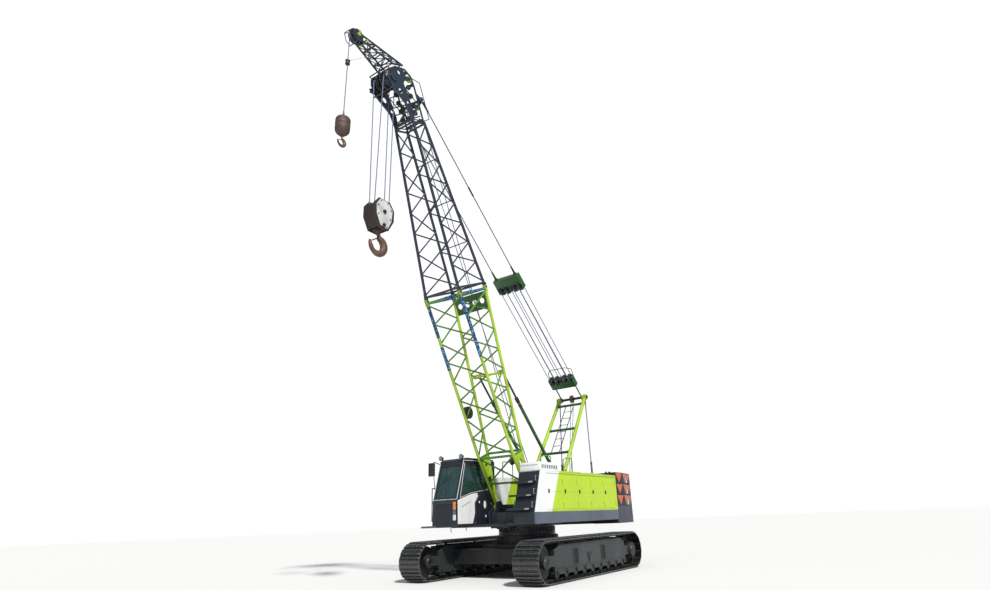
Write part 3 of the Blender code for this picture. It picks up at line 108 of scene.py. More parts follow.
def math_node(tree, operation, *values, clamp=False):
    """The output of a Math node."""
    return add_node(tree, "Math", *values, operation=operation, use_clamp=clamp).outputs[0]


def mixed(tree, factor, first, second):
    """Colour between two colours."""
    made = add_node(tree, "Mix", data_type="RGBA")
    for socket, value in ((made.inputs[0], factor), (made.inputs[6], first), (made.inputs[7], second)):
        if isinstance(value, bpy.types.NodeSocket):
            tree.links.new(value, socket)
        else:
            socket.default_value = value if isinstance(value, float) else (*value, 1.0)
    return made.outputs[2]


def new_material(name):
    """A named material with a bare Principled shader."""
    made = bpy.data.materials.new(name)
    made.use_nodes = True
    return made, made.node_tree, made.node_tree.nodes["Principled BSDF"]


world = bpy.data.worlds.new("studio")
scene.world = world
world.use_nodes = True
room = world.node_tree
seen = add_node(room, "LightPath").outputs["Is Camera Ray"]
white = add_node(room, "Background", (1.0, 1.0, 1.0, 1.0), 1.06)
soft = add_node(room, "Background", (0.86, 0.93, 1.0, 1.0), 0.38)
mix = add_node(room, "MixShader", seen, soft.outputs[0], white.outputs[0])
room.links.new(mix.outputs[0], room.nodes["World Output"].inputs[0])

sun = bpy.data.objects.new("high_lamp", bpy.data.lights.new("high_lamp", "SUN"))
sun.data.energy = 4.0
sun.data.angle = math.radians(4)
sun.data.color = (1.0, 0.97, 0.92)
sun.rotation_euler = Vector((-0.62, 0.42, -0.72)).to_track_quat("-Z", "Y").to_euler()
scene.collection.objects.link(sun)

floor_work = bmesh.new()
bmesh.ops.create_circle(floor_work, cap_ends=True, segments=96, radius=160)
floor_mesh = bpy.data.meshes.new("floor")
floor_work.to_mesh(floor_mesh)
floor_work.free()
floor = bpy.data.objects.new("floor", floor_mesh)
scene.collection.objects.link(floor)
floor_paint, tree, shader = new_material("pale_floor")
grain = add_node(tree, "TexNoise", in_Scale=3.0, in_Detail=4.0).outputs[0]
tree.links.new(mixed(tree, grain, (0.80, 0.80, 0.80), (0.86, 0.86, 0.86)), shader.inputs["Base Color"])
shader.inputs["Roughness"].default_value = 0.9
floor_mesh.materials.append(floor_paint)

# ---------------------------------------------------------------- side frames of the tracks
# Each track runs round a welded box beam of grey-painted plate with forks at its ends, its grey
# darkened as painted shade.  Rollers hang under it between guard strips, and small bearing caps close the
# roller shafts.

SLEW_Y = joints["slew"]["pos_m"][1]


def at(x, y, z):
    """A point given from the slewing axis, in the frame of the model."""
    return Vector((x, y + SLEW_Y, z))


def effect(name, inputs, outputs):
    """An empty shader node group with its named sockets."""
    made = bpy.data.node_groups.new(name, "ShaderNodeTree")
    for label, value in inputs:
        made.interface.new_socket(label, in_out="INPUT",
                                  socket_type="NodeSocketFloat").default_value = value
    for label in outputs:
        made.interface.new_socket(label, in_out="OUTPUT", socket_type="NodeSocketFloat")
    return made, made.nodes.new("NodeGroupInput"), made.nodes.new("NodeGroupOutput")


def weathering():
    """Patches, dust that settles on upward faces, rubbed edges, runs and fine grain."""
    group, given, result = effect(
        "weathering", (("Size", 1.0), ("Edge Width", 0.01)), ("Patches", "Dust", "Edges", "Runs", "Grain"))
    place = add_node(group, "TexCoord").outputs["Object"]
    size = given.outputs["Size"]
    broad = add_node(group, "TexNoise", in_Vector=place, in_Scale=size, in_Detail=6.0,
                     in_Roughness=0.62).outputs[0]
    patches = add_node(group, "MapRange", broad, 0.38, 0.68).outputs[0]
    geometry = add_node(group, "NewGeometry")
    facing = add_node(group, "SeparateXYZ", geometry.outputs["Normal"]).outputs[2]
    lying = add_node(group, "MapRange", facing, 0.25, 0.95).outputs[0]
    speckle_size = math_node(group, "MULTIPLY", size, 9.0)
    speckle = add_node(group, "TexNoise", in_Vector=place, in_Scale=speckle_size, in_Detail=5.0).outputs[0]
    loose = add_node(group, "MapRange", speckle, 0.3, 0.7).outputs[0]
    dust = math_node(group, "MULTIPLY", lying, math_node(group, "MULTIPLY_ADD", loose, 0.6, 0.4))
    rounded = add_node(group, "Bevel", given.outputs["Edge Width"], samples=4).outputs[0]
    meeting = add_node(group, "VectorMath", rounded, geometry.outputs["Normal"],
                       operation="DOT_PRODUCT").outputs["Value"]
    bare = add_node(group, "MapRange", meeting, 0.995, 0.86).outputs[0]
    edges = math_node(group, "MULTIPLY", bare, math_node(group, "MULTIPLY_ADD", loose, 0.9, 0.1),
                      clamp=True)
    thin = add_node(group, "Mapping", place, in_Scale=(9.0, 9.0, 0.7)).outputs[0]
    streaks = add_node(group, "TexNoise", in_Vector=thin, in_Scale=size, in_Detail=3.0).outputs[0]
    runs = add_node(group, "MapRange", streaks, 0.55, 0.8).outputs[0]
    grain = add_node(group, "TexNoise", in_Vector=place,
                     in_Scale=math_node(group, "MULTIPLY", size, 90.0)).outputs[0]
    for value, socket in zip((patches, dust, edges, runs, grain), result.inputs):
        group.links.new(value, socket)
    return group


WEATHERING = weathering()
DUST_COLOUR = (0.33, 0.30, 0.26)


def painted(name, colour, roughness=0.4, coat=0.0, size=1.0, shade=0.75, dust=0.25, wear=0.3,
            bare=(0.30, 0.30, 0.32), runs=0.15, metal=0.0, edge=0.01, bump=0.05, second=None):
    """Paint or bare metal with weathering; second(tree, colour) may change the clean colour first."""
    made, tree, shader = new_material(name)
    worn = tree.nodes.new("ShaderNodeGroup")
    worn.node_tree = WEATHERING
    worn.inputs["Size"].default_value = size
    worn.inputs["Edge Width"].default_value = edge
    clean = second(tree, colour) if second else colour
    if isinstance(clean, bpy.types.NodeSocket):
        darker = mixed(tree, 1.0 - shade, clean, (0.0, 0.0, 0.0))
    else:
        darker = tuple(part * shade for part in clean)
    tone = mixed(tree, math_node(tree, "MULTIPLY", worn.outputs["Patches"], 0.8), clean, darker)
    tone = mixed(tree, math_node(tree, "MULTIPLY", worn.outputs["Runs"], runs), tone, (0.05, 0.045, 0.04))
    tone = mixed(tree, math_node(tree, "MULTIPLY", worn.outputs["Dust"], dust), tone, DUST_COLOUR)
    tone = mixed(tree, math_node(tree, "MULTIPLY", worn.outputs["Edges"], wear), tone, bare)
    tree.links.new(tone, shader.inputs["Base Color"])
    rough = math_node(tree, "MULTIPLY_ADD", worn.outputs["Patches"], 0.18, roughness - 0.06)
    rough = math_node(tree, "MULTIPLY_ADD", worn.outputs["Dust"], 0.3 * dust, rough, clamp=True)
    tree.links.new(rough, shader.inputs["Roughness"])
    shader.inputs["Metallic"].default_value = metal
    shader.inputs["Coat Weight"].default_value = coat
    shader.inputs["Coat Roughness"].default_value = 0.12
    lumps = add_node(tree, "Bump", in_Strength=bump, in_Distance=0.004,
                     in_Height=worn.outputs["Grain"]).outputs[0]
    tree.links.new(lumps, shader.inputs["Normal"])
    return made


def finish_node(name, *finishes):
    """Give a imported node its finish."""
    mesh = frame["nodes"][name].data
    mesh.materials.clear()
    for finish in finishes:
        mesh.materials.append(finish)


def piece(name, work, body, finish, sharp=35, smooth=True, join=True):
    """Turn finished mesh work into a piece that rides on a body."""
    if join:
        bmesh.ops.remove_doubles(work, verts=work.verts, dist=1e-5)
    bmesh.ops.recalc_face_normals(work, faces=work.faces)
    mesh = bpy.data.meshes.new(name)
    work.to_mesh(mesh)
    work.free()
    made = bpy.data.objects.new(name, mesh)
    scene.collection.objects.link(made)
    mesh.materials.append(finish)
    if smooth:
        mesh.shade_smooth()
        mesh.set_sharp_from_angle(angle=math.radians(sharp))
    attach(made, body)
    return made


def around(count):
    """Angles of evenly spaced places round a circle."""
    return [math.tau * step / count for step in range(count)]


def bar(work, start, end, radius, sides=12, end_radius=None):
    """A round bar between two points."""
    start, end = Vector(start), Vector(end)
    turn = (end - start).to_track_quat("Z", "Y").to_matrix().to_4x4()
    return bmesh.ops.create_cone(
        work, cap_ends=True, segments=sides, radius1=radius,
        radius2=radius if end_radius is None else end_radius,
        depth=(end - start).length, matrix=Matrix.Translation((start + end) / 2) @ turn)["verts"]


def shaft(work, middle, first, last, *sizes):
    """A bar along the machine's width, between two distances from its middle."""
    bar(work, middle + Vector((first, 0, 0)), middle + Vector((last, 0, 0)), *sizes)


def block(work, low, high, bevel=0.0, turn=None):
    """A box between two corners with softened edges, turned about its centre if asked."""
    low, high = Vector(low), Vector(high)
    spread = Matrix.Diagonal((*(high - low), 1.0))
    matrix = Matrix.Translation((low + high) / 2) @ (turn.to_4x4() if turn else Matrix()) @ spread
    verts = bmesh.ops.create_cube(work, size=1.0, matrix=matrix)["verts"]
    if bevel:
        edges = list({edge for vert in verts for edge in vert.link_edges})
        found = bmesh.ops.bevel(work, geom=edges, offset=bevel, offset_type="OFFSET", affect="EDGES",
                                segments=2, profile=0.5, material=-1)
        verts = list({vert for face in found["faces"]
                      for vert in face.verts} | {v for v in verts if v.is_valid})
    return verts


def sheet(work, outline, across, thick, holes=(), bevel=0.0):
    """A flat plate cut to an outline of points with holes, given its thickness along a vector."""
    edges = []
    for loop in (outline, *holes):
        verts = [work.verts.new(place) for place in loop]
        edges += [work.edges.new((a, b)) for a, b in zip(verts, verts[1:] + verts[:1])]
    filled = bmesh.ops.triangle_fill(work, use_beauty=True, use_dissolve=True, edges=edges)["geom"]
    faces = [part for part in filled if isinstance(part, bmesh.types.BMFace)]
    grown = bmesh.ops.extrude_face_region(work, geom=faces)["geom"]
    verts = [part for part in grown if isinstance(part, bmesh.types.BMVert)]
    bmesh.ops.translate(work, verts=verts, vec=Vector(across).normalized() * thick)
    if bevel:
        rim = {edge for vert in verts for edge in vert.link_edges if edge.is_manifold
               and edge.calc_face_angle(0) > 1.0}
        bmesh.ops.bevel(work, geom=list(rim), offset=bevel, offset_type="OFFSET", affect="EDGES",
                        segments=1, profile=0.5, material=-1)
    return verts


def ring(centre, radius, steps, first=0.0):
    """Points of a circle in the y-z plane."""
    return [Vector(centre) + Vector((0, radius * math.cos(turn), radius * math.sin(turn)))
            for turn in (first + math.tau * step / steps for step in range(steps))]


def bolts(work, places, axis, radius=0.014, height=0.012):
    """Hexagon bolt heads on a face that looks along an axis."""
    axis = Vector(axis).normalized()
    for place in places:
        bar(work, Vector(place) - axis * 0.002, Vector(place) + axis * height, radius, 6)


# Painted shade: this grey is made darker than the paint, standing in for the shade round and between the
# tracks.
frame_grey_and_shade = painted("frame_grey_and_shade", (0.021, 0.029, 0.031), 0.42, size=1.3, dust=0.22, wear=0.25, runs=0.5)
track_black = painted("track_black", (0.006, 0.007, 0.008), 0.34, coat=0.35, size=2.0, dust=0.08, wear=0.9,
                      bare=(0.42, 0.43, 0.46), edge=0.016, runs=0.0, metal=0.35)
running_steel = painted("running_steel", (0.035, 0.036, 0.040), 0.38, size=3.0, dust=0.25, wear=0.8,
                        bare=(0.5, 0.5, 0.52), metal=0.7, runs=0.3)
TRACK_X, WHEEL_REACH, TRACK_CORE = 1.90, 2.495, 0.515
for side, word in ((1, "left"), (-1, "right")):
    finish_node(f"{word}_track_frame", frame_grey_and_shade)
    finish_node(f"{word}_idler", running_steel)
    finish_node(f"{word}_sprocket", running_steel)
    work = bmesh.new()
    face = side * (TRACK_X + 0.25)
    for y in (-0.95, 0.62):                       # tall dark openings, framed by welded rims
        sheet(work, [at(face, y - 0.13, 0.36), at(face, y + 0.13, 0.36), at(face, y + 0.13, 0.77),
                     at(face, y - 0.13, 0.77)], (side, 0, 0), 0.012,
              [[at(face, y - 0.11, 0.38), at(face, y + 0.11, 0.38), at(face, y + 0.11, 0.75),
                at(face, y - 0.11, 0.75)]])
    for lean in (-1, 1):                          # forked lug for lifting the frame
        block(work, at(face + side * 0.012 - 0.012, -0.20 + lean * 0.055 - 0.028, 0.46),
              at(face + side * 0.012 + 0.012, -0.20 + lean * 0.055 + 0.028, 0.62), 0.006,
              Matrix.Rotation(lean * -0.45, 3, "X"))
    block(work, at(face + side * 0.012 - 0.012, -0.235, 0.38),
          at(face + side * 0.012 + 0.012, -0.165, 0.50), 0.006)
    for z, depth in ((0.335, 0.020), (0.870, 0.014)):   # edge strips of the beam
        block(work, at(face - 0.004, -1.86, z - 0.012), at(face + side * depth, 1.86, z + 0.012)
              if side > 0 else at(face + 0.004, 1.86, z + 0.012), 0.003)
    for first, last in ((-1.72, -1.47), (-1.22, -0.13), (0.13, 1.22), (1.47, 1.72)):
        block(work, at(side * TRACK_X - 0.17, first, 0.875), at(side * TRACK_X + 0.17, last, 0.913), 0.008)
    piece(f"{word}_frame_welds", work, "undercarriage", frame_grey_and_shade)
    work = bmesh.new()
    for y in (-0.95, 0.62):
        block(work, at(min(face, face + side * 0.004), y - 0.11, 0.38),
              at(max(face, face + side * 0.004), y + 0.11, 0.75))
    piece(f"{word}_frame_openings", work, "undercarriage",
          painted(f"{word}_shade", (0.006, 0.007, 0.008), 0.8, dust=0.1))
    work = bmesh.new()
    for index in range(9):                        # caps of the roller shafts, bolted to the guard
        y = (2.495 - 0.4 - 0.06 - 0.14) * (2 * index / 8 - 1)
        for way in (-1, 1):
            x = side * TRACK_X + way * 0.25
            bar(work, at(x - way * 0.01, y, 0.245), at(x + way * 0.028, y, 0.245), 0.052, 16)
            bolts(work, [at(x + way * 0.028, y, 0.245)], (way, 0, 0), 0.016, 0.014)
    piece(f"{word}_roller_caps", work, "undercarriage", running_steel)
    work = bmesh.new()
    for end, hub in ((-1, 0.17), (1, 0.21)):      # axle caps and final-drive cover outside the forks
        for way in (-1, 1):
            x = side * TRACK_X + way * 0.25
            centre = at(x, end * WHEEL_REACH, TRACK_CORE)
            shaft(work, centre, -way * 0.01, way * 0.055, hub, 28, hub * 0.92)
            shaft(work, centre, way * 0.05, way * 0.08, hub * 0.62, 24,
                hub * 0.5)
            bolts(work, [centre + Vector((way * 0.055, hub * 0.76 * math.cos(a), hub * 0.76 * math.sin(a)))
                         for a in around(10)], (way, 0, 0), 0.013, 0.012)
    piece(f"{word}_hub_covers", work, "undercarriage", running_steel)

# ---------------------------------------------------------------- endless tracks
# Sixty cast shoes a side, each one plate with three grousers, ride on two rows of forged links
# joined by pins.  The links' rails run over the rollers.

SHOES = 60
SHOE_PITCH = 2 * (2 * WHEEL_REACH + math.pi * TRACK_CORE) / SHOES


def track_place(way, radius):
    """Place and outward turn on the track's loop, a distance along it from the front lower bend."""
    run, bend = 2 * WHEEL_REACH, math.pi * TRACK_CORE
    way %= 2 * (run + bend)
    if way < run:
        return -WHEEL_REACH + way, TRACK_CORE - radius, -math.pi / 2
    if way < run + bend:
        turn = -math.pi / 2 + (way - run) / TRACK_CORE
        return WHEEL_REACH + radius * math.cos(turn), TRACK_CORE + radius * math.sin(turn), turn
    if way < 2 * run + bend:
        return WHEEL_REACH - (way - run - bend), TRACK_CORE + radius, math.pi / 2
    turn = math.pi / 2 + (way - 2 * run - bend) / TRACK_CORE
    return -WHEEL_REACH + radius * math.cos(turn), TRACK_CORE + radius * math.sin(turn), turn


for side, word in ((1, "left"), (-1, "right")):
    work = bmesh.new()
    links = bmesh.new()
    for shoe in range(SHOES):
        y, z, turn = track_place((shoe + 0.5) * SHOE_PITCH, 0.515)
        stand = Matrix.Translation(at(side * TRACK_X, y, z)) @ Matrix.Rotation(turn - math.pi / 2, 4, "X")
        half = SHOE_PITCH * 0.5
        section = [(-half * 0.94, -0.050), (-half * 0.90, -0.034), (-half * 0.66, -0.034),
                   (-half * 0.58, -0.001),
                   (-half * 0.36, -0.001), (-half * 0.28, -0.036), (half * 0.34, -0.036),
                   (half * 0.42, -0.001),
                   (half * 0.64, -0.001), (half * 0.72, -0.034), (half * 0.98, -0.036),
                   (half * 1.02, -0.050)]
        verts = [work.verts.new(stand @ Vector((-0.38, along, depth))) for along, depth in section]
        face = work.faces.new(verts)
        grown = bmesh.ops.extrude_face_region(work, geom=[face])["geom"]
        grown = [part for part in grown if isinstance(part, bmesh.types.BMVert)]
        bmesh.ops.translate(work, verts=grown, vec=(0.76, 0, 0))
        for end, ends in ((-1, verts), (1, grown)):   # worn and chamfered shoe ends
            for vert in (ends[3], ends[4], ends[7], ends[8]):
                vert.co.x -= end * 0.028
        for row in (-0.11, 0.11):
            low = stand @ Matrix.Translation((row, 0, -0.070))
            bmesh.ops.create_cube(links, size=1.0,
                                  matrix=low @ Matrix.Diagonal((0.040, SHOE_PITCH * 0.93, 0.058, 1)))
            for bolt in (-0.045, 0.045):
                for along in (-0.3, 0.3):
                    place = stand @ Vector((row + bolt, SHOE_PITCH * along, -0.034))
                    out = stand.to_3x3() @ Vector((0, 0, 1))
                    bar(links, place, place + out * 0.010, 0.013, 6)
        pin = stand @ Vector((0, SHOE_PITCH * 0.5, -0.074))
        shaft(links, pin, -0.155, 0.155, 0.020, 8)
    shoes = piece(f"{word}_shoes", work, "undercarriage", track_black, smooth=False, join=False)
    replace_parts(shoes, f"{word}_track")
    piece(f"{word}_links", links, "undercarriage", running_steel, smooth=False, join=False)


# ---------------------------------------------------------------- car body and slewing ring
# The fabricated body joins both side frames and carries the slewing ring, a large bearing with
# inner and outer rows of bolts.  It is black under a film of road dust, darkened further as painted shade
# under the machine.

# Painted shade: the body's black is made darker still, standing in for the deep shade under the machine.
body_black_and_shade = painted("body_black_and_shade", (0.010, 0.011, 0.013), 0.50, size=1.2, dust=0.20, wear=0.2, runs=0.3)
finish_node("car_body", body_black_and_shade)
finish_node("slew_ring", running_steel)
work = bmesh.new()
bolts(work, [at(0.86 * math.cos(turn), 0.86 * math.sin(turn), 1.06)
             for turn in around(40)], (0, 0, 1), 0.020, 0.020)
piece("ring_bolts", work, "undercarriage", running_steel)
work = bmesh.new()
bar(work, at(0, 0, 1.10), at(0, 0, 1.15), 0.845, 64)
bar(work, at(0, 0, 1.30), at(0, 0, 1.375), 0.845, 64)
for step in range(72):                            # teeth of the swing gear between the flanges
    turn = math.tau * step / 72
    block(work, (-0.014, -0.012, -0.06), (0.030, 0.012, 0.06))
    fresh = [vert for vert in work.verts if vert.co.length < 0.09 and abs(vert.co.z) < 0.07]
    bmesh.ops.transform(work, verts=fresh, matrix=Matrix.Translation(at(0, 0, 1.225))
                        @ Matrix.Rotation(turn, 4, "Z") @ Matrix.Translation((0.81, 0, 0)))
piece("swing_gear", work, "upper", running_steel, join=False)

# ---------------------------------------------------------------- revolving frame
# Deck, main plates and side skirts are welded from thick plate.  The skirts are slate grey and
# everything between them navy; the walkway round the cab is chequered plate.


def by_object(tree, axis):
    """One coordinate of a piece."""
    place = add_node(tree, "TexCoord").outputs["Object"]
    return add_node(tree, "SeparateXYZ", place).outputs["XYZ".index(axis)]


def skirt_or_deck(tree, colour):
    """Slate grey on the skirts and navy between them."""
    across = math_node(tree, "ABSOLUTE", by_object(tree, "X"))
    outside = math_node(tree, "GREATER_THAN", across, 1.605)
    return mixed(tree, outside, colour, (0.092, 0.112, 0.150))


navy = painted("navy", (0.010, 0.014, 0.024), 0.40, coat=0.15, size=1.1, dust=0.12, wear=0.35, runs=0.2,
               bare=(0.25, 0.26, 0.30))
finish_node("revolving_frame", painted("frame_paint", (0.011, 0.015, 0.026), 0.42, coat=0.1, dust=0.12,
                                       wear=0.3, runs=0.35, second=skirt_or_deck))
work = bmesh.new()
for side in (-1, 1):                              # weld flanges along the tops of the main plates
    for x in (0.565 - 0.0175, 0.675 + 0.0175):
        block(work, at(side * x - 0.032, 2.25, 1.948), at(side * x + 0.032, 3.17, 1.962), 0.003)
for side in (-1, 1):                              # lock nuts of the boom's foot pins
    bar(work, at(side * 0.73, -0.615, 1.88), at(side * 0.765, -0.615, 1.88), 0.085, 6)
piece("foot_pin_nuts", work, "upper", running_steel)
work = bmesh.new()
for y in (-1.72, -1.30, -0.90):                   # hydraulic lines and valve bank under the deck
    bar(work, at(-1.45, y, 1.365), at(1.30, y, 1.365), 0.020, 10)
block(work, at(-0.35, -1.32, 1.30), at(0.30, -0.98, 1.388), 0.01)
for x in (-0.22, -0.02, 0.18):
    bar(work, at(x, -1.15, 1.27), at(x, -1.15, 1.31), 0.035, 14)
piece("deck_lines", work, "upper", body_black_and_shade)
work = bmesh.new()
for x, y, reach in ((-1.30, -1.95, 0.16), (-0.95, -1.70, 0.13), (-0.20, -1.48, 0.10)):
    bar(work, at(x, y, 1.39), at(x + 0.02, y, 1.39 - reach), 0.010, 8)
piece("deck_drains", work, "upper", body_black_and_shade)
work = bmesh.new()
for row in range(16):                             # raised lozenges of the walkway's tread plate
    for column in range(6):
        turn = 0.7 if (row + column) % 2 else -0.7
        block(work, at(-2.145 + column * 0.068, -2.19 + row * 0.112, 1.4195),
              at(-2.135 + column * 0.068, -2.13 + row * 0.112, 1.4235), 0.0, Matrix.Rotation(turn, 3, "Z"))
piece("walkway_tread", work, "upper", navy, smooth=False, join=False)
work = bmesh.new()
bracket_x = -0.788
sheet(work, [at(bracket_x, y, z) for y, z in ((-1.40, 1.43), (-1.42, 2.02), (-1.19, 2.28), (-0.87, 2.28),
                                               (-0.63, 1.90), (-0.45, 1.43))], (1, 0, 0), 0.006,
      [ring(at(bracket_x, -1.02, 1.96), 0.085, 20), ring(at(bracket_x, -1.28, 2.03), 0.035, 14),
       [at(bracket_x, y, z) for y, z in ((-1.04, 1.60), (-0.98, 1.70), (-0.92, 1.60))]])
piece("bracket_stiffener", work, "upper", navy)
WHITE_SPOTS = ((-1.02, 1.96, 0.055, 0.110), (-1.28, 2.03, 0.026, 0.032), (-0.72, 1.98, 0.022, 0.028),
               (-0.98, 1.64, 0.026, 0.036))

# ---------------------------------------------------------------- machine houses and their doors
# Pressed sheet panels, lime behind a slanted boundary and white before it, close the engine and
# pump rooms.  Each hinged door has a crease at mid-height and a black flush latch at its front.


def lime_and_white(tree, colour):
    """White at the front of a house and lime behind a slanting edge."""
    y, z = by_object(tree, "Y"), by_object(tree, "Z")
    slant = math_node(tree, "MULTIPLY_ADD", z, -0.46, y)
    left = math_node(tree, "LESS_THAN", slant, SLEW_Y - 1.23 - 0.46 * 1.70)
    far = math_node(tree, "LESS_THAN", slant, SLEW_Y - 0.02 - 0.46 * 1.70)
    is_right = math_node(tree, "LESS_THAN", by_object(tree, "X"), 0.0)
    white = math_node(tree, "MAXIMUM", left, math_node(tree, "MULTIPLY", far, is_right))
    return mixed(tree, white, colour, (0.80, 0.81, 0.83))


house_paint = painted("house_paint", (0.44, 0.63, 0.015), 0.30, coat=0.5, size=0.7, shade=0.88, dust=0.30,
                      wear=0.10, runs=0.06, edge=0.006, bump=0.02, second=lime_and_white)
white_paint = painted("white_paint", (0.80, 0.81, 0.83), 0.35, coat=0.3, size=1.0, shade=0.86, dust=0.15,
                      wear=0.2, runs=0.12, bare=(0.35, 0.34, 0.33))
work = bmesh.new()
for y, z, wide, tall in WHITE_SPOTS:              # white discs seen through the bracket's holes
    sheet(work, [at(bracket_x + 0.008, y + wide * math.cos(a), z + tall * math.sin(a))
                 for a in around(20)], (1, 0, 0), 0.005)
piece("bracket_spots", work, "upper", white_paint)
fitting_black = painted("fitting_black", (0.014, 0.014, 0.016), 0.45, size=4.0, dust=0.15, wear=0.3)
bright_steel = painted("bright_steel", (0.55, 0.56, 0.58), 0.22, size=5.0, dust=0.05, wear=0.0, metal=0.9,
                       runs=0.05)
doors = {f"left_door_{i}": (1, a, b) for i, (a, b) in enumerate(zip(
    (-1.46, -0.58, 0.26, 1.10, 1.94), (-0.58, 0.26, 1.10, 1.94, 2.76)), 1)}
doors |= {f"right_door_{i}": (-1, a, b) for i, (a, b) in enumerate(((-0.10, 1.33), (1.33, 2.76)), 1)}
finish_node("left_house", house_paint)
finish_node("right_house", house_paint)
FACE = 1.67
for name, (side, front, rear) in doors.items():
    body = name.replace("_door_", "_side_door_")
    finish_node(name, house_paint)
    low, high = front + 0.032, rear - 0.032
    work = bmesh.new()
    crease = [(2.235, 0.0), (2.228, 0.0075), (2.196, 0.0075), (2.189, 0.0)]
    verts = [work.verts.new(at(side * (FACE - 0.002 + out), low + 0.16, z)) for z, out in crease]
    face = work.faces.new(verts)
    grown = bmesh.ops.extrude_face_region(work, geom=[face])["geom"]
    bmesh.ops.translate(work, verts=[v for v in grown if isinstance(v, bmesh.types.BMVert)],
                        vec=(0, high - low - 0.20, 0))
    piece(f"{name}_pressing", work, body, house_paint)
    work = bmesh.new()
    centre = at(side * (FACE + 0.006), low + 0.075, 2.205)
    block(work, centre - Vector((0.011, 0.030, 0.052)), centre + Vector((0.011, 0.030, 0.052)), 0.006)
    block(work, centre + Vector((side * 0.012 - 0.006, -0.018, -0.040)),
          centre + Vector((side * 0.012 + 0.006, 0.018, 0.012)), 0.005)
    bar(work, centre + Vector((side * 0.008, 0, 0.032)), centre + Vector((side * 0.020, 0, 0.032)), 0.011,
        14)
    piece(f"{name}_latch", work, body, fitting_black)
    work = bmesh.new()
    for z in (1.89, 2.51):                        # hinge leaves screwed to the door
        y = rear - 0.02 - 0.045
        block(work, at(side * FACE - 0.004, y - 0.022, z + 0.004),
              at(side * FACE + 0.004, y + 0.022, z + 0.086), 0.002)
        bolts(work, [at(side * (FACE + 0.004), y, z + 0.022), at(side * (FACE + 0.004), y, z + 0.068)],
              (side, 0, 0), 0.007, 0.004)
    piece(f"{name}_hinge_leaves", work, body, house_paint)

work = bmesh.new()
for side, front in ((1, -1.50), (-1, -0.33)):     # folded roof edge and the drip rail over the doors
    block(work, at(side * FACE - 0.010, front + 0.02, 2.728), at(side * FACE + 0.010, 2.84, 2.746), 0.004)
    block(work, at(side * FACE - 0.006, front + 0.04, 2.682), at(side * FACE + 0.012, 2.84, 2.692), 0.003)
    block(work, at(side * FACE - 0.006, front + 0.04, 1.700), at(side * FACE + 0.008, 2.84, 1.716), 0.003)
    for y in (0.20, 1.60):                        # raised roof hatches
        block(work, at(side * 1.24 - 0.34, y - 0.50, 2.735), at(side * 1.24 + 0.34, y + 0.50, 2.775), 0.012)
piece("house_trims", work, "upper", house_paint)
work = bmesh.new()
x0, x1, y0, y1, z1 = 0.98, 1.60, -1.66, -0.70, 2.96
block(work, at(x0 - 0.012, y0 - 0.012, 2.742), at(x1 + 0.012, y1 + 0.012, z1 + 0.012), 0.018)
block(work, at(x0 + 0.03, y0 - 0.030, z1 - 0.060), at(x1 - 0.03, y0 - 0.008, z1 - 0.02), 0.006)
piece("cap_cover", work, "upper", white_paint)
work = bmesh.new()
for step in range(9):                             # air slots along the cover's sides
    y = y0 + 0.10 + step * 0.095
    block(work, at(x1 + 0.006, y, 2.80), at(x1 + 0.016, y + 0.045, 2.90), 0.003)
for row in range(7):                              # louvres of the cooler in the right house
    z = 1.82 + row * 0.11
    block(work, at(-1.60, -0.348, z), at(-0.95, -0.326, z + 0.035), 0.004, Matrix.Rotation(0.35, 3, "X"))
for step in range(2):                             # grilles in the roof hatches
    for row in range(10):
        y = (0.20, 1.60)[step] - 0.40 + row * 0.085
        for side in (-1, 1):
            block(work, at(side * 1.24 - 0.26, y, 2.772), at(side * 1.24 + 0.26, y + 0.03, 2.784), 0.003)
piece("air_grilles", work, "upper", fitting_black)


def bent_rail(work, points, radius, sides=10):
    """A round rail through points, with a ball at each bend."""
    for start, end in zip(points, points[1:]):
        bar(work, start, end, radius, sides)
    for place in points[1:-1]:
        bmesh.ops.create_icosphere(work, subdivisions=2, radius=radius * 1.01,
                                   matrix=Matrix.Translation(place))


work = bmesh.new()
for side, y in ((1, -0.45), (1, 0.85), (-1, 0.10)):   # grab rails beside the gap between the houses
    bent_rail(work, [at(side * 0.90, y, 2.74), at(side * 0.90, y, 3.20), at(side * 0.94, y + 0.10, 3.26),
                     at(side * 0.94, y + 0.45, 3.26), at(side * 0.90, y + 0.55, 3.20),
                     at(side * 0.90, y + 0.55, 2.74)], 0.016)
piece("roof_rails", work, "upper", painted("rail_green", (0.10, 0.30, 0.03), 0.4, size=3.0, wear=0.5))
# ---------------------------------------------------------------- engine
# The engine stands in the left house behind its doors: one cast block with its head covers,
# oil filter and fan cowl bolted on, in greasy grey.

engine_grey = painted("engine_grey", (0.12, 0.13, 0.14), 0.45, size=4.0, dust=0.3, wear=0.3, runs=0.6,
                      metal=0.3)
finish_node("engine_block", engine_grey)
work = bmesh.new()
for step in range(4):
    block(work, at(0.98, 0.80 + step * 0.40, 2.415), at(1.48, 1.12 + step * 0.40, 2.50), 0.02)
for y in (1.0, 1.5, 2.0):
    bar(work, at(1.535, y, 1.80), at(1.60, y, 1.80), 0.075, 20)
    bolts(work, [at(1.538, y + 0.20, z) for z in (1.60, 1.85, 2.10, 2.30)], (1, 0, 0))
bent_rail(work, [at(1.555, 0.80, 2.25), at(1.590, 0.80, 2.25), at(1.590, 2.30, 2.25),
                 at(1.555, 2.30, 2.25)], 0.016)
piece("engine_covers", work, "upper", engine_grey)

# ---------------------------------------------------------------- steps in front of the left house
# A navy fabricated box with three protruding treads leads up to the roof.  The treads are open
# grating with polished grab handles at their outer ends.

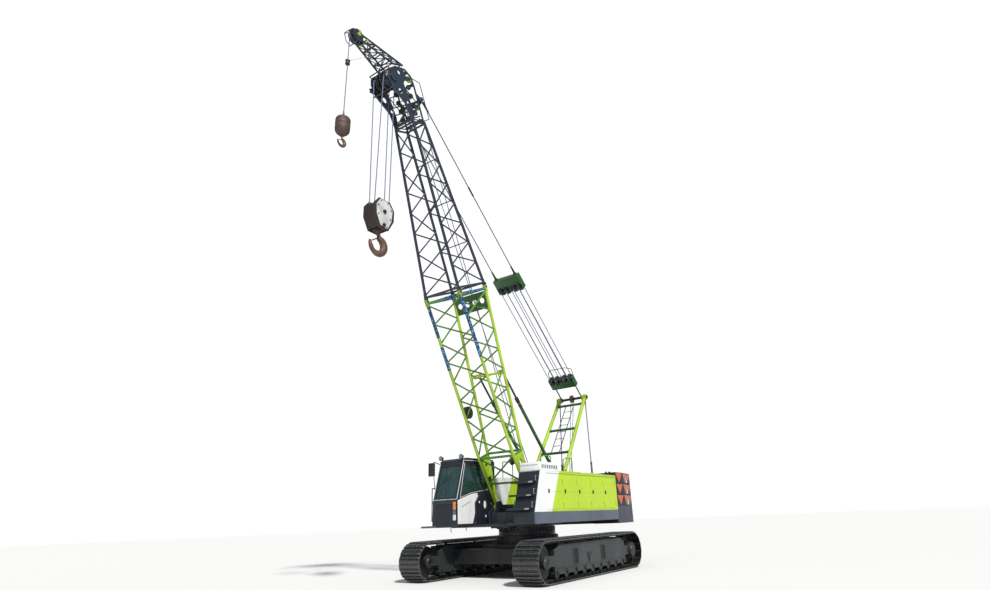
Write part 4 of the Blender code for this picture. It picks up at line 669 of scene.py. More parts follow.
finish_node("front_steps", navy)
work = bmesh.new()
grips = bmesh.new()
STEP_SLOPE = 0.35 / 1.06
for z in (1.78, 2.12, 2.46):
    edge = -2.01 + STEP_SLOPE * (z - 1.68)
    for tooth in range(11):
        x = 0.82 + tooth * 0.064
        block(work, at(x, edge - 0.128, z - 0.001), at(x + 0.012, edge + 0.02, z + 0.010), 0.0)
    block(work, at(0.785, edge - 0.137, z - 0.040), at(1.515, edge - 0.122, z + 0.012), 0.003)
    bent_rail(grips, [at(1.555, edge + 0.02, z + 0.02), at(1.555, edge - 0.07, z + 0.02),
                      at(1.555, edge - 0.05, z + 0.14), at(1.555, edge + 0.05, z + 0.14)], 0.013)
    block(grips, at(1.36, edge - 0.140, z - 0.030), at(1.50, edge - 0.134, z + 0.008), 0.003)
piece("step_gratings", work, "upper", navy, smooth=False, join=False)
piece("step_grips", grips, "upper", bright_steel)

# ---------------------------------------------------------------- counterweight
# Cast slabs stacked on a base and held by tie rods, painted navy.  Each slab's corner carries
# reflecting triangles, orange and white, on thin riveted plates.


def slab_joints(tree, colour):
    """Dark joints between the cast slabs over a greyer base."""
    z = by_object(tree, "Z")
    clean = colour
    for height in (1.80, 2.15, 2.50):
        gap = math_node(tree, "ABSOLUTE", math_node(tree, "SUBTRACT", z, height))
        clean = mixed(tree, math_node(tree, "LESS_THAN", gap, 0.007), clean, (0.003, 0.003, 0.004))
    low = math_node(tree, "LESS_THAN", z, 1.80)
    return mixed(tree, math_node(tree, "MULTIPLY", low, 0.5), clean, (0.09, 0.10, 0.13))


finish_node("counterweight", painted("cast_navy", (0.012, 0.016, 0.028), 0.5, size=1.6, dust=0.22,
                                     wear=0.45, runs=0.35, bump=0.25, second=slab_joints))
glow = {}
for colour, name in (((0.62, 0.115, 0.025), "reflect_orange"), ((0.78, 0.78, 0.80), "reflect_white")):
    glow[name] = painted(name, colour, 0.25, coat=0.6, size=3.0, dust=0.12, wear=0.2, runs=0.2, edge=0.004)
plates = {name: bmesh.new() for name in glow}
faces = []
for side in (-1, 1):
    faces.append((Vector((side * 1.67, 2.88, 0)), Vector((side * 1.67, 3.39, 0)), side))
    faces.append((Vector((side * 1.668, 3.42, 0)), Vector((side * 1.504, 4.34, 0)), side))
for start, end, side in faces:
    along = (end - start).normalized()
    out = Vector((along.y, -along.x, 0)) * side
    out = out if out.x * side > 0 else -out
    length = (end - start).length
    count = max(1, round(length / 0.46))
    for top in (2.825, 2.475, 2.125):
        for index in range(count):
            middle = start + along * (length * (index + 0.5) / count) + out * 0.001
            half = length / count * 0.46
            points = [middle - along * half, middle + along * half, middle + along * 0.0]
            heights = (top, top, top - 0.30)
            sheet(plates["reflect_orange"], [at(p.x, p.y, z) for p, z in zip(points, heights)], out, 0.004)
            if index < count - 1 or count == 1:
                edge = middle + along * half * 1.08
                points = [edge, edge + along * half * 0.42, edge - along * half * 0.42]
                heights = (top - 0.02, top - 0.29, top - 0.29)
                if count > 1:
                    sheet(plates["reflect_white"], [at(p.x, p.y, z) for p, z in zip(points, heights)], out,
                          0.004)
for side in (-1, 1):                              # the back's rows, above the tow pin
    for top in (2.825, 2.475, 2.125):
        for x in (0.90, 1.18):
            points = [at(side * (x - 0.12), 4.501, top), at(side * (x + 0.12), 4.501, top),
                      at(side * x, 4.501, top - 0.30)]
            sheet(plates["reflect_orange" if x > 1 else "reflect_white"], points, (0, 1, 0), 0.004)
for name, work in plates.items():
    piece(f"{name}_plates", work, "upper", glow[name], smooth=False)
work = bmesh.new()
for side in (-1, 1):
    for y in (3.25, 4.05):                        # nuts and lifting eyes of the tie rods
        bar(work, at(side * 1.16, y, 2.845), at(side * 1.16, y, 2.885), 0.055, 6)
        bar(work, at(side * 1.16, y, 2.88), at(side * 1.16, y, 2.92), 0.028, 14)
    block(work, at(side * 1.08 - 0.012, 3.60, 2.845), at(side * 1.08 + 0.012, 3.76, 2.94), 0.01)
    for z in (2.0, 2.35, 2.70):
        bar(work, at(side * 1.05, 4.50, z), at(side * 1.05, 4.515, z), 0.03, 16)
bar(work, at(0, 4.49, 1.50), at(0, 4.56, 1.50), 0.07, 20)
bar(work, at(0, 4.545, 1.50), at(0, 4.575, 1.50), 0.105, 24)
piece("counterweight_ties", work, "upper", running_steel)

# ---------------------------------------------------------------- operator's cab
# A welded tube frame skinned with sheet steel, navy with a white lower side panel.  Tinted panes
# sit in rubber with bright trim lines; lamps, mirror and wiper are bolted on.

finish_node("cab_shell", navy)
finish_node("cab_door", navy)
tinted, tree, shader = new_material("tinted_glass")
film = add_node(tree, "TexNoise", add_node(tree, "TexCoord").outputs["Object"], in_Scale=2.2,
                in_Detail=5.0).outputs[0]
tree.links.new(mixed(tree, film, (0.03, 0.13, 0.14), (0.13, 0.28, 0.29)), shader.inputs["Base Color"])
tree.links.new(math_node(tree, "MULTIPLY_ADD", film, 0.10, 0.02), shader.inputs["Roughness"])
shader.inputs["Transmission Weight"].default_value = 0.82
shader.inputs["IOR"].default_value = 1.45
shader.inputs["Coat Weight"].default_value = 0.5
CAB_X0, CAB_X1 = -1.76, -0.84


def screen_y(z):
    """The sloping front face of the cab."""
    return -2.20 + 0.32 / 1.11 * (z - 2.10)


def pane(name, outline, out, body, inset=0.012):
    """A 5 mm pane with its rubber seal round it, set into an opening."""
    out = Vector(out).normalized()
    shift = [place - out * inset for place in outline]
    work = bmesh.new()
    sheet(work, shift, -out, 0.005)
    piece(f"{name}_glass", work, body, tinted, smooth=False)
    seal = bmesh.new()
    middle = sum(outline, Vector()) / len(outline)
    outer = [place + (place - middle).normalized() * 0.004 + out * 0.003 for place in outline]
    inner = [place - (place - middle).normalized() * 0.034 + out * 0.003 for place in outline]
    sheet(seal, outer, -out, 0.030, [inner])
    piece(f"{name}_seal", seal, body, rubber_black)


rubber_black = painted("rubber_black", (0.012, 0.012, 0.013), 0.7, size=6.0, dust=0.2, wear=0.0, runs=0.1)
front_out = Vector((0, -1.11, 0.32))
corners = [(-1.69, 2.14), (-0.91, 2.14), (-0.91, 3.07), (-1.69, 3.07)]
pane("windscreen", [at(x, screen_y(z), z) for x, z in corners], front_out, "upper", 0.014)
pane("side_window", [at(CAB_X1, y, z) for y, z in ((-2.09, 2.18), (-1.86, 3.09), (-0.97, 3.09),
                                                   (-0.82, 2.92),
                                                   (-0.82, 2.42), (-1.62, 2.32))], (1, 0, 0), "upper")
pane("rear_window", [at(x, -0.42, z) for x, z in ((-1.62, 2.40), (-1.62, 3.05), (-0.98, 3.05),
                                                  (-0.98, 2.40))],
     (0, 1, 0), "upper")
pane("door_window", [at(-1.8003, y, z) for y, z in ((-1.76, 2.10), (-1.20, 2.10), (-1.20, 3.05),
                                                    (-1.76, 3.05))],
     (-1, 0, 0), "door_of_cab", 0.010)

work = bmesh.new()                                # bright trim along the screen's posts and the roof edge
for x in (CAB_X0 + 0.012, CAB_X1 - 0.012):
    bar(work, at(x, screen_y(2.10) - 0.004, 2.12), at(x, screen_y(3.20) - 0.004, 3.20), 0.011, 8)
bar(work, at(CAB_X0 + 0.02, screen_y(2.115) - 0.006, 2.115),
    at(CAB_X1 - 0.02, screen_y(2.115) - 0.006, 2.115), 0.010, 8)
bar(work, at(CAB_X1 + 0.004, -1.87, 3.19), at(CAB_X1 + 0.004, -0.52, 3.22), 0.012, 8)
bar(work, at(CAB_X1 + 0.005, screen_y(2.2) + 0.09, 2.16), at(CAB_X1 + 0.005, screen_y(3.1) + 0.05, 3.12),
    0.008, 8)
bar(work, at(CAB_X1 + 0.005, -2.08, 2.15), at(CAB_X1 + 0.005, -1.60, 2.285), 0.008, 8)
bar(work, at(CAB_X1 + 0.005, -1.60, 2.285), at(CAB_X1 + 0.005, -0.80, 2.385), 0.008, 8)
piece("cab_trims", work, "upper", painted("trim_silver", (0.62, 0.65, 0.70), 0.3, size=8.0, dust=0.1,
                                          wear=0.0, runs=0.3))
work = bmesh.new()
block(work, at(CAB_X0 + 0.01, -2.226, 2.00), at(CAB_X1 - 0.01, -2.198, 2.085), 0.006)
piece("screen_apron", work, "upper", frame_grey_and_shade)
work = bmesh.new()
sheet(work, [at(CAB_X1, y, z) for y, z in ((-2.18, 1.45), (-2.185, 2.08), (-2.04, 2.13), (-1.58, 2.255),
                                            (-1.30, 2.29), (-1.22, 2.0), (-1.34, 1.72), (-1.30, 1.45))],
      (1, 0, 0), 0.007, bevel=0.002)
piece("cab_side_panel", work, "upper", white_paint)
work = bmesh.new()
sheet(work, [at(CAB_X1 + 0.007, y, z) for y, z in ((-1.52, 1.45), (-1.43, 1.45), (-1.24, 1.98),
                                                   (-1.275, 2.07),
                                                    (-1.33, 1.98))], (1, 0, 0), 0.002)
sheet(work, [at(CAB_X1 + 0.007, y, z) for y, z in ((-2.00, 1.90), (-1.62, 2.045), (-1.62, 2.06),
                                                   (-2.00, 1.915))],
      (1, 0, 0), 0.002)
piece("side_panel_stripe", work, "upper", fitting_black)

lamps = (("signal_orange", (0.85, 0.22, 0.03), 1.83, 2.04),
         ("signal_green", (0.02, 0.20, 0.08), 1.71, 1.82),
         ("signal_white", (0.75, 0.78, 0.80), 1.55, 1.70))
for name, colour, low, high in lamps:             # lamp cluster on the front corner
    work = bmesh.new()
    block(work, at(CAB_X1 - 0.125, -2.252, low), at(CAB_X1 - 0.025, -2.222, high), 0.008)
    for row in range(int((high - low) / 0.03)):
        block(work, at(CAB_X1 - 0.118, -2.256, low + 0.012 + row * 0.03),
              at(CAB_X1 - 0.032, -2.250, low + 0.02 + row * 0.03),
              0.002)
    piece(name, work, "upper", painted(name, colour, 0.15, coat=1.0, size=9.0, dust=0.05, wear=0.0,
                                       runs=0.0, shade=0.55))
work = bmesh.new()
block(work, at(CAB_X1 - 0.140, -2.238, 1.53), at(CAB_X1 - 0.010, -2.212, 2.06), 0.008)
wiper = [at(-1.20, screen_y(2.14) - 0.030, 2.14), at(-1.30, screen_y(2.50) - 0.032, 2.50)]
bent_rail(work, [at(-1.20, screen_y(2.12) - 0.01, 2.12), *wiper], 0.009)
bar(work, at(-1.36, screen_y(2.28) - 0.018, 2.28), at(-1.26, screen_y(2.86) - 0.018, 2.86), 0.010, 6)
for x in (-1.70, -0.92):                          # work lamps on stalks over the screen
    bar(work, at(x, -1.86, 3.20), at(x, -1.88, 3.28), 0.014, 10)
    bar(work, at(x, -1.93, 3.305), at(x, -1.85, 3.305), 0.062, 20, 0.040)
    bar(work, at(x, -1.955, 3.305), at(x, -1.93, 3.305), 0.070, 22)
mirror = at(-1.74, -2.29, 2.97)
bent_rail(work, [at(CAB_X0, -1.92, 3.14), at(-1.80, -2.10, 3.20), mirror + Vector((0.04, 0.03, 0.20)),
                 mirror + Vector((0.04, 0.03, 0.04))], 0.013)
bar(work, at(CAB_X0, -2.12, 2.40), mirror + Vector((0.05, 0.03, -0.12)), 0.011, 8)
block(work, mirror - Vector((0.10, 0.035, 0.19)), mirror + Vector((0.10, 0.030, 0.19)), 0.022,
      Matrix.Rotation(0.25, 3, "Z"))
piece("cab_fittings", work, "upper", fitting_black)
work = bmesh.new()
block(work, mirror + Vector((-0.085, 0.028, -0.175)), mirror + Vector((0.085, 0.040, 0.175)), 0.004,
      Matrix.Rotation(0.25, 3, "Z"))
for x in (-1.70, -0.92):
    bar(work, at(x, -1.960, 3.305), at(x, -1.953, 3.305), 0.060, 22)
piece("mirror_and_lenses", work, "upper", bright_steel)
work = bmesh.new()
bent_rail(work, [at(CAB_X0 - 0.01, -2.16, 1.55), at(CAB_X0 - 0.07, -2.16, 1.55),
                 at(CAB_X0 - 0.07, -2.16, 2.45), at(CAB_X0 - 0.01, -2.13, 2.45)], 0.014)
block(work, at(-1.56, -1.55, 3.262), at(-1.05, -0.75, 3.300), 0.014)
piece("cab_rails", work, "upper", navy)
work = bmesh.new()
block(work, at(-1.812, -1.30, 2.02), at(-1.800, -1.22, 2.06), 0.004)
bent_rail(work, [at(-1.80, -1.20, 2.00), at(-1.835, -1.20, 2.00), at(-1.835, -1.20, 2.28),
                 at(-1.80, -1.20, 2.28)], 0.010)
bar(work, at(-1.805, -1.86, 1.53), at(-1.805, -1.12, 1.53), 0.008, 8)
piece("cab_door_handle", work, "door_of_cab", bright_steel)
work = bmesh.new()
for z in (1.505, 3.165):                          # guide rails that the door slides along
    block(work, at(-1.772, -1.84, z - 0.014), at(-1.7595, -0.46, z - 0.004), 0.002)
piece("cab_door_guides", work, "upper", fitting_black)

# ---------------------------------------------------------------- seat and controls
# A sprung seat in woven cloth over foam stands on a steel box between two consoles, each with a
# lever in a rubber boot.  A screen and two travel levers stand in front of it.

cloth, tree, shader = new_material("seat_cloth")
place = add_node(tree, "TexCoord").outputs["Object"]
warp = add_node(tree, "TexWave", place, in_Scale=95.0, bands_direction="X").outputs[1]
weft = add_node(tree, "TexWave", place, in_Scale=95.0, bands_direction="Y").outputs[1]
weave = math_node(tree, "MAXIMUM", warp, weft)
wear_mask = add_node(tree, "TexNoise", place, in_Scale=5.0, in_Detail=4.0).outputs[0]
tone = mixed(tree, weave, (0.018, 0.019, 0.022), (0.060, 0.062, 0.070))
tree.links.new(mixed(tree, math_node(tree, "MULTIPLY", wear_mask, 0.35), tone, (0.12, 0.11, 0.10)),
               shader.inputs["Base Color"])
tree.links.new(add_node(tree, "Bump", in_Strength=0.5, in_Distance=0.001, in_Height=weave).outputs[0],
               shader.inputs["Normal"])
shader.inputs["Roughness"].default_value = 0.9
shader.inputs["Sheen Weight"].default_value = 0.3


def cushion(name, low, high, crown, channels, turn=0.0, pivot=(0, 0, 0)):
    """A stuffed pad: sides drawn in between its corners, a crowned face and sewn channels across it."""
    work = bmesh.new()
    low, high = Vector(low), Vector(high)
    verts = bmesh.ops.create_cube(work, size=2.0)["verts"]
    bmesh.ops.subdivide_edges(work, edges=work.edges, cuts=11, use_grid_fill=True)
    for vert in work.verts:
        x, y, z = vert.co
        belly = (1 - x * x) * (1 - y * y)
        round_off = 1 - 0.10 * (abs(x * y) ** 4) - 0.05 * (z * z) ** 3
        groove = 0.10 * max(0.0, math.cos(math.pi * channels * (y + 1))) ** 12 if channels else 0.0
        vert.co = Vector((x * round_off * (1 - 0.03 * (1 - y * y)),
                          y * round_off * (1 - 0.03 * (1 - x * x)),
                          z * (0.80 + crown * belly) - (groove if z > 0 else 0) * (1 - x ** 8)))
    bmesh.ops.transform(work, verts=work.verts, matrix=Matrix.Translation((low + high) / 2)
                        @ Matrix.Diagonal((*((high - low) / 2), 1)))
    bmesh.ops.rotate(work, verts=work.verts, cent=pivot, matrix=Matrix.Rotation(turn, 3, "X"))
    bmesh.ops.smooth_vert(work, verts=work.verts, factor=0.4, use_axis_x=True, use_axis_y=True,
                          use_axis_z=True)
    made = piece(name, work, "upper", cloth, sharp=80)
    softened = made.modifiers.new("soft", "SUBSURF")
    softened.levels = softened.render_levels = 1
    return made


SEAT_X = -1.30
hip = at(SEAT_X, -0.86, 1.90)
pads = [cushion("seat_cushion", at(SEAT_X - 0.26, -1.40, 1.745), at(SEAT_X + 0.26, -0.86, 1.925), 0.22, 2),
        cushion("seat_back", hip + Vector((-0.25, 0.0, -0.06)), hip + Vector((0.25, 0.64, 0.07)), 0.25, 3,
                math.radians(76), hip),
        cushion("seat_headrest", hip + Vector((-0.14, 0.68, -0.05)), hip + Vector((0.14, 0.88, 0.05)), 0.3,
                0, math.radians(76), hip)]
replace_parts(pads[0], "cab_seat")
work = bmesh.new()
block(work, at(SEAT_X - 0.19, -1.29, 1.475), at(SEAT_X + 0.19, -0.92, 1.60), 0.01)
for step in range(5):                             # suspension bellows under the seat
    block(work, at(SEAT_X - 0.175 + 0.01 * (step % 2), -1.27, 1.60 + step * 0.03),
          at(SEAT_X + 0.175 - 0.01 * (step % 2), -0.94, 1.63 + step * 0.03), 0.008)
for side in (-1, 1):
    x = SEAT_X + side * 0.345
    block(work, at(x - 0.065, -1.42, 1.475), at(x + 0.065, -0.92, 1.93), 0.02)
    block(work, at(x - 0.055, -1.16, 1.93), at(x + 0.055, -0.82, 1.985), 0.02)
    bar(work, at(x, -1.32, 1.93), at(x, -1.32, 1.985), 0.040, 16, 0.018)
    bar(work, at(x, -1.32, 1.97), at(x, -1.35, 2.12), 0.010, 10)
    bmesh.ops.create_uvsphere(work, u_segments=16, v_segments=10, radius=0.028,
                              matrix=Matrix.Translation(at(x, -1.355, 2.14)))
    bent_rail(work, [at(SEAT_X + side * 0.12, -1.78, 1.47), at(SEAT_X + side * 0.12, -1.80, 1.95),
                     at(SEAT_X + side * 0.12, -1.74, 2.10)], 0.011)
    block(work, at(SEAT_X + side * 0.12 - 0.05, -1.80, 1.475), at(SEAT_X + side * 0.12 + 0.05, -1.62, 1.50),
          0.006)
bent_rail(work, [at(-0.98, -1.75, 1.47), at(-0.98, -1.78, 2.15), at(-1.02, -1.74, 2.34)], 0.012)
block(work, at(-1.14, -1.755, 2.28), at(-0.93, -1.725, 2.46), 0.012)
block(work, at(-1.70, -2.14, 1.475), at(-0.90, -1.98, 1.70), 0.02)
piece("cab_controls", work, "upper", fitting_black)
work = bmesh.new()
block(work, at(-1.13, -1.7246, 2.295), at(-0.94, -1.7225, 2.445), 0.001)
piece("control_screen", work, "upper", tinted)

# ---------------------------------------------------------------- winches
# Cast drums turn on shafts between the main plates, with their rope in close turns and a brake
# disc on one flange.

# Painted shade: on the spreaders and the boom's rear panel this dark green stands in for lime paint in
# shade.
green_paint_and_shade = painted("dark_green", (0.010, 0.085, 0.016), 0.40, coat=0.2, size=1.4, dust=0.2, wear=0.45,
                       runs=0.25, bare=(0.30, 0.42, 0.10))


def rope_steel():
    """Wound wire rope: blue-grey strands with grease in between."""
    made, tree, shader = new_material("wire_rope")
    place = add_node(tree, "TexCoord").outputs["Object"]
    leaning = add_node(tree, "Mapping", place, in_Rotation=(0.6, 0.5, 0.4)).outputs[0]
    strands = add_node(tree, "TexWave", leaning, in_Scale=22.0, in_Distortion=0.4,
                       bands_direction="Z").outputs[1]
    grease = add_node(tree, "TexNoise", place, in_Scale=3.0, in_Detail=5.0).outputs[0]
    tone = mixed(tree, strands, (0.040, 0.060, 0.110), (0.30, 0.38, 0.54))
    tone = mixed(tree, math_node(tree, "MULTIPLY", grease, 0.45), tone, (0.030, 0.030, 0.035))
    tree.links.new(tone, shader.inputs["Base Color"])
    tree.links.new(math_node(tree, "MULTIPLY_ADD", grease, 0.3, 0.28), shader.inputs["Roughness"])
    shader.inputs["Metallic"].default_value = 0.55
    tree.links.new(add_node(tree, "Bump", in_Strength=0.6, in_Distance=0.003, in_Height=strands).outputs[0],
                   shader.inputs["Normal"])
    return made


wire = rope_steel()
WINCHES = {"main_drum": 0.30, "auxiliary_drum": 1.08, "luffing_drum": 2.42}
for name, y in WINCHES.items():
    finish_node(name, green_paint_and_shade)
    work = bmesh.new()
    for turn in range(28):
        centre = at(-0.378 + turn * 0.028, y, 1.80)
        verts = bmesh.ops.create_circle(work, segments=6, radius=0.0135,
                                        matrix=Matrix.Translation(centre + Vector((0, 0.2545, 0)))
                                        )["verts"]
        edges = list({edge for vert in verts for edge in vert.link_edges})
        bmesh.ops.spin(work, geom=verts + edges, cent=centre, axis=(1, 0, 0), angle=math.tau, steps=30,
                       use_merge=True)
    piece(f"{name}_turns", work, f"winch_{name}", wire, sharp=60)
    work = bmesh.new()
    for side in (-1, 1):
        for step in range(8):
            turn = math.tau * step / 8
            x = side * 0.425
            place = at(x, y + 0.27 * math.cos(turn), 1.80 + 0.27 * math.sin(turn))
            bolts(work, [place], (side, 0, 0), 0.018, 0.014)
    piece(f"{name}_bolts", work, f"winch_{name}", running_steel)
work = bmesh.new()
for y in WINCHES.values():                        # hydraulic motors on the plates beside each drum
    bar(work, at(0.715, y, 1.80), at(0.80, y, 1.80), 0.13, 24)
    bar(work, at(-0.80, y, 1.80), at(-0.715, y, 1.80), 0.10, 24)
    bolts(work, [at(0.712 + 0.01, y + 0.15 * math.cos(a), 1.80 + 0.15 * math.sin(a))
                 for a in around(8)], (1, 0, 0), 0.014, 0.02)
piece("winch_motors", work, "upper", running_steel)

# ---------------------------------------------------------------- foot section of the boom
# Four round chords with a zigzag of smaller tubes welded between them converge on two foot
# bosses.  Knee plates, a drilled rear panel and the pinned lugs of the upper joint stiffen it.

FOOT = Vector(joints["boom_luff"]["pos_m"])
LEAN = math.radians(66.2)
ALONG = Vector((0, -math.cos(LEAN), math.sin(LEAN)))
BACK = Vector((0, math.sin(LEAN), math.cos(LEAN)))
CORNERS = ((-1, -1), (1, -1), (1, 1), (-1, 1))


def on_boom(x, s, t):
    """A point by its place across, along and behind the boom's foot pin."""
    return FOOT + Vector((x, 0, 0)) + ALONG * s + BACK * t


def cross_bar(work, half, s, t, *sizes):
    """A round bar straight across the boom."""
    bar(work, on_boom(-half, s, t), on_boom(half, s, t), *sizes)


def boom_half_width(s):
    """Half the width between the chords, s metres from the foot."""
    return 0.62 if s <= 6.5 else 0.62 - 0.275 * (s - 6.5) / 5.1


def boom_half_depth(s):
    """Half the depth between the chords, s metres from the foot."""
    for first, last, start, end in ((0.0, 1.57, 0.0, 0.23), (1.57, 6.5, 0.23, 0.645),
                                    (6.5, 11.6, 0.645, 0.25)):
        if s <= last:
            return start + (end - start) * (s - first) / (last - first)
    return 0.25


def chord(corner, s):
    """A point on one corner chord."""
    return on_boom(-corner[0] * boom_half_width(s), s, corner[1] * boom_half_depth(s))


def lattice(work, first, last, bays, radius, sides=10):
    """Zigzag braces on all four faces, with small gussets where they meet the chords."""
    step = (last - first) / bays
    for face in range(4):
        pair = CORNERS[face], CORNERS[(face + 1) % 4]
        for bay in range(bays):
            start, end = chord(pair[bay % 2], first + bay * step), chord(pair[(bay + 1) % 2],
                                                                         first + (bay + 1) * step)
            bar(work, start, end, radius, sides)
            inset = (end - start).normalized() * 0.055
            for place, way in ((start, inset), (end, -inset)):
                bar(work, place + way * 0.5, place + way * 1.5, radius * 1.32, sides, radius)


boom_lime = painted("boom_lime", (0.36, 0.56, 0.014), 0.34, coat=0.4, size=1.2, shade=0.5, dust=0.12,
                    wear=0.35, runs=0.15, bare=(0.62, 0.72, 0.30), edge=0.008)
base_chords = bmesh.new()
for corner in CORNERS:
    bar(base_chords, chord(corner, 0.06), chord(corner, 1.57), 0.045, 16)
    bar(base_chords, chord(corner, 1.55), chord(corner, 6.4999), 0.045, 16)
    bmesh.ops.create_uvsphere(base_chords, u_segments=16, v_segments=10, radius=0.0455,
                              matrix=Matrix.Translation(chord(corner, 1.56)))
    lug = chord(corner, 6.40)                     # fork of the pinned joint at the section's end
    for offset in (-0.034, 0.034):
        sheet(base_chords, [lug + Vector((offset - 0.008, 0, 0)) + ALONG * s + BACK * t for s, t in (
            (-0.10, -0.040), (0.098, -0.062), (0.098, 0.062), (-0.10, 0.040))], (1, 0, 0), 0.016)
for side in (-1, 1):
    x = side * 0.62
    bar(base_chords, on_boom(x - 0.045, 0, 0), on_boom(x + 0.045, 0, 0), 0.12, 36)
    hub = [on_boom(x - 0.02, s, t) for s, t in ((0.95, -boom_half_depth(0.95)), (1.57, -0.23), (1.57, 0.23),
                                               (0.95, boom_half_depth(0.95)))]
    hole = [on_boom(x - 0.02, 1.30 + 0.07 * math.cos(a), 0.02 + 0.07 * math.sin(a))
            for a in around(20)]
    slit = [on_boom(x - 0.02, s, t) for s, t in ((1.10, 0.005), (1.19, 0.005), (1.19, 0.035),
                                                 (1.10, 0.035))]
    sheet(base_chords, hub, (1, 0, 0), 0.04, [hole, slit])
    sheet(base_chords, [on_boom(x - 0.025, s, t) for s, t in ((0.0, -0.06), (0.5, -boom_half_depth(0.5)),
                                                             (0.5, boom_half_depth(0.5)), (0.0, 0.06))],
          (1, 0, 0), 0.05)
    for s, t in ((1.0, 0.0), (1.45, -0.15), (1.45, 0.17)):
        bolts(base_chords, [on_boom(x + side * 0.02, s, t)], (side, 0, 0), 0.020, 0.016)
for side in (-1, 1):                              # rear ears that the backstops push against
    for offset in (-0.061, 0.039):
        x = side * 0.45 + offset
        back = boom_half_depth(3.88)
        ear = [(3.82, back), (3.94, back)] + [(3.88 + 0.06 * math.cos(a), 0.60 + 0.06 * math.sin(a))
                                              for a in (math.pi * step / 8 for step in range(9))]
        sheet(base_chords, [on_boom(x, s, t) for s, t in ear], (1, 0, 0), 0.022)
cross_bar(base_chords, 0.62, 3.88, boom_half_depth(3.88), 0.035, 14)
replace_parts(piece("boom_base_chords", base_chords, "boom", boom_lime), "boom_base")

# Painted shade: the braces are given a darker green than the lime chords, standing in for lime lacing in
# shade.
brace_shaded_lime = painted("brace_shaded_lime", (0.085, 0.270, 0.018), 0.38, coat=0.3, size=1.4, shade=0.30, dust=0.12,
                      wear=0.5, runs=0.1, bare=(0.42, 0.60, 0.10), edge=0.008)
work = bmesh.new()
lattice(work, 1.63, 6.34, 8, 0.024)
for s, radius in ((1.57, 0.035), (6.40, 0.035)):
    for face in range(4):
        bar(work, chord(CORNERS[face], s), chord(CORNERS[(face + 1) % 4], s), radius, 12)
cross_bar(work, 0.62, 0.75, -boom_half_depth(0.75), 0.03, 12)
for side in (-1, 1):
    bar(work, on_boom(side * 0.62, 0.75, -boom_half_depth(0.75)), on_boom(-side * 0.62, 1.57, -0.23), 0.024,
        12)
piece("boom_base_braces", work, "boom", brace_shaded_lime)
work = bmesh.new()
depth = boom_half_depth(6.05)
holes = [[on_boom(x + 0.085 * math.cos(a), 6.08 + 0.085 * math.sin(a), depth - 0.02)
          for a in around(24)] for x in (-0.42, -0.14, 0.14, 0.42)]
sheet(work, [on_boom(x, s, depth - 0.02) for x, s in ((-0.62, 5.82), (0.62, 5.82), (0.62, 6.34),
                                                      (-0.62, 6.34))],
      BACK, 0.02, holes)
for hole in holes:                                # rolled rims of the four holes
    middle = sum(hole, Vector()) / len(hole)
    for start, end in zip(hole, hole[1:] + hole[:1]):
        rim = [middle + (place - middle) * 1.05 + BACK * 0.012 for place in (start, end)]
        bar(work, *rim, 0.008, 6)
piece("boom_rear_panel", work, "boom", green_paint_and_shade)
work = bmesh.new()
for corner in CORNERS:                            # pins of the section joint, with heads and keepers
    for s in (6.455, 6.545):
        place = chord(corner, s)
        shaft(work, place, -0.060, 0.060, 0.022, 14)
        shaft(work, place, 0.050, 0.064, 0.034, 14)
piece("section_pins", work, "boom", running_steel)


def speckled(name, dark, light):
    """Printed protective tape: blue and white flecks."""
    made, tree, shader = new_material(name)
    place = add_node(tree, "TexCoord").outputs["Object"]
    cells = add_node(tree, "TexVoronoi", place, in_Scale=26.0).outputs["Distance"]
    broad = add_node(tree, "TexNoise", place, in_Scale=14.0, in_Detail=3.0).outputs[0]
    flecks = add_node(tree, "MapRange", math_node(tree, "ADD", cells, broad), 1.02, 1.22).outputs[0]
    tree.links.new(mixed(tree, flecks, dark, light), shader.inputs["Base Color"])
    tree.links.new(add_node(tree, "Bump", in_Strength=0.4, in_Distance=0.004, in_Height=broad).outputs[0],
                   shader.inputs["Normal"])
    shader.inputs["Roughness"].default_value = 0.45
    return made


work = bmesh.new()
for corner, first, last in (((1, -1), 5.35, 6.28), ((1, -1), 4.35, 5.05), ((-1, -1), 4.55, 6.36)):
    turns = int((last - first) / 0.05)
    for turn in range(turns):                     # overlapping turns, each slightly conical
        s = first + (last - first) * turn / turns
        bar(work, chord(corner, s), chord(corner, s + (last - first) / turns * 1.25), 0.0485, 14, 0.0515)
for face, first, last in ((0, 0.10, 0.42), (1, 0.05, 0.95), (3, 0.08, 0.95)):
    start, end = chord(CORNERS[face], 6.40), chord(CORNERS[(face + 1) % 4], 6.40)
    for turn in range(16):
        share = first + (last - first) * turn / 16
        bar(work, start.lerp(end, share), start.lerp(end, share + (last - first) / 13), 0.0385, 12, 0.0415)
piece("tape_wraps", work, "boom", speckled("printed_tape", (0.003, 0.018, 0.060), (0.09, 0.33, 0.62)))

# ---------------------------------------------------------------- top section of the boom
# The second section tapers to the head.  Its tubes are navy, with the same zigzag of braces.

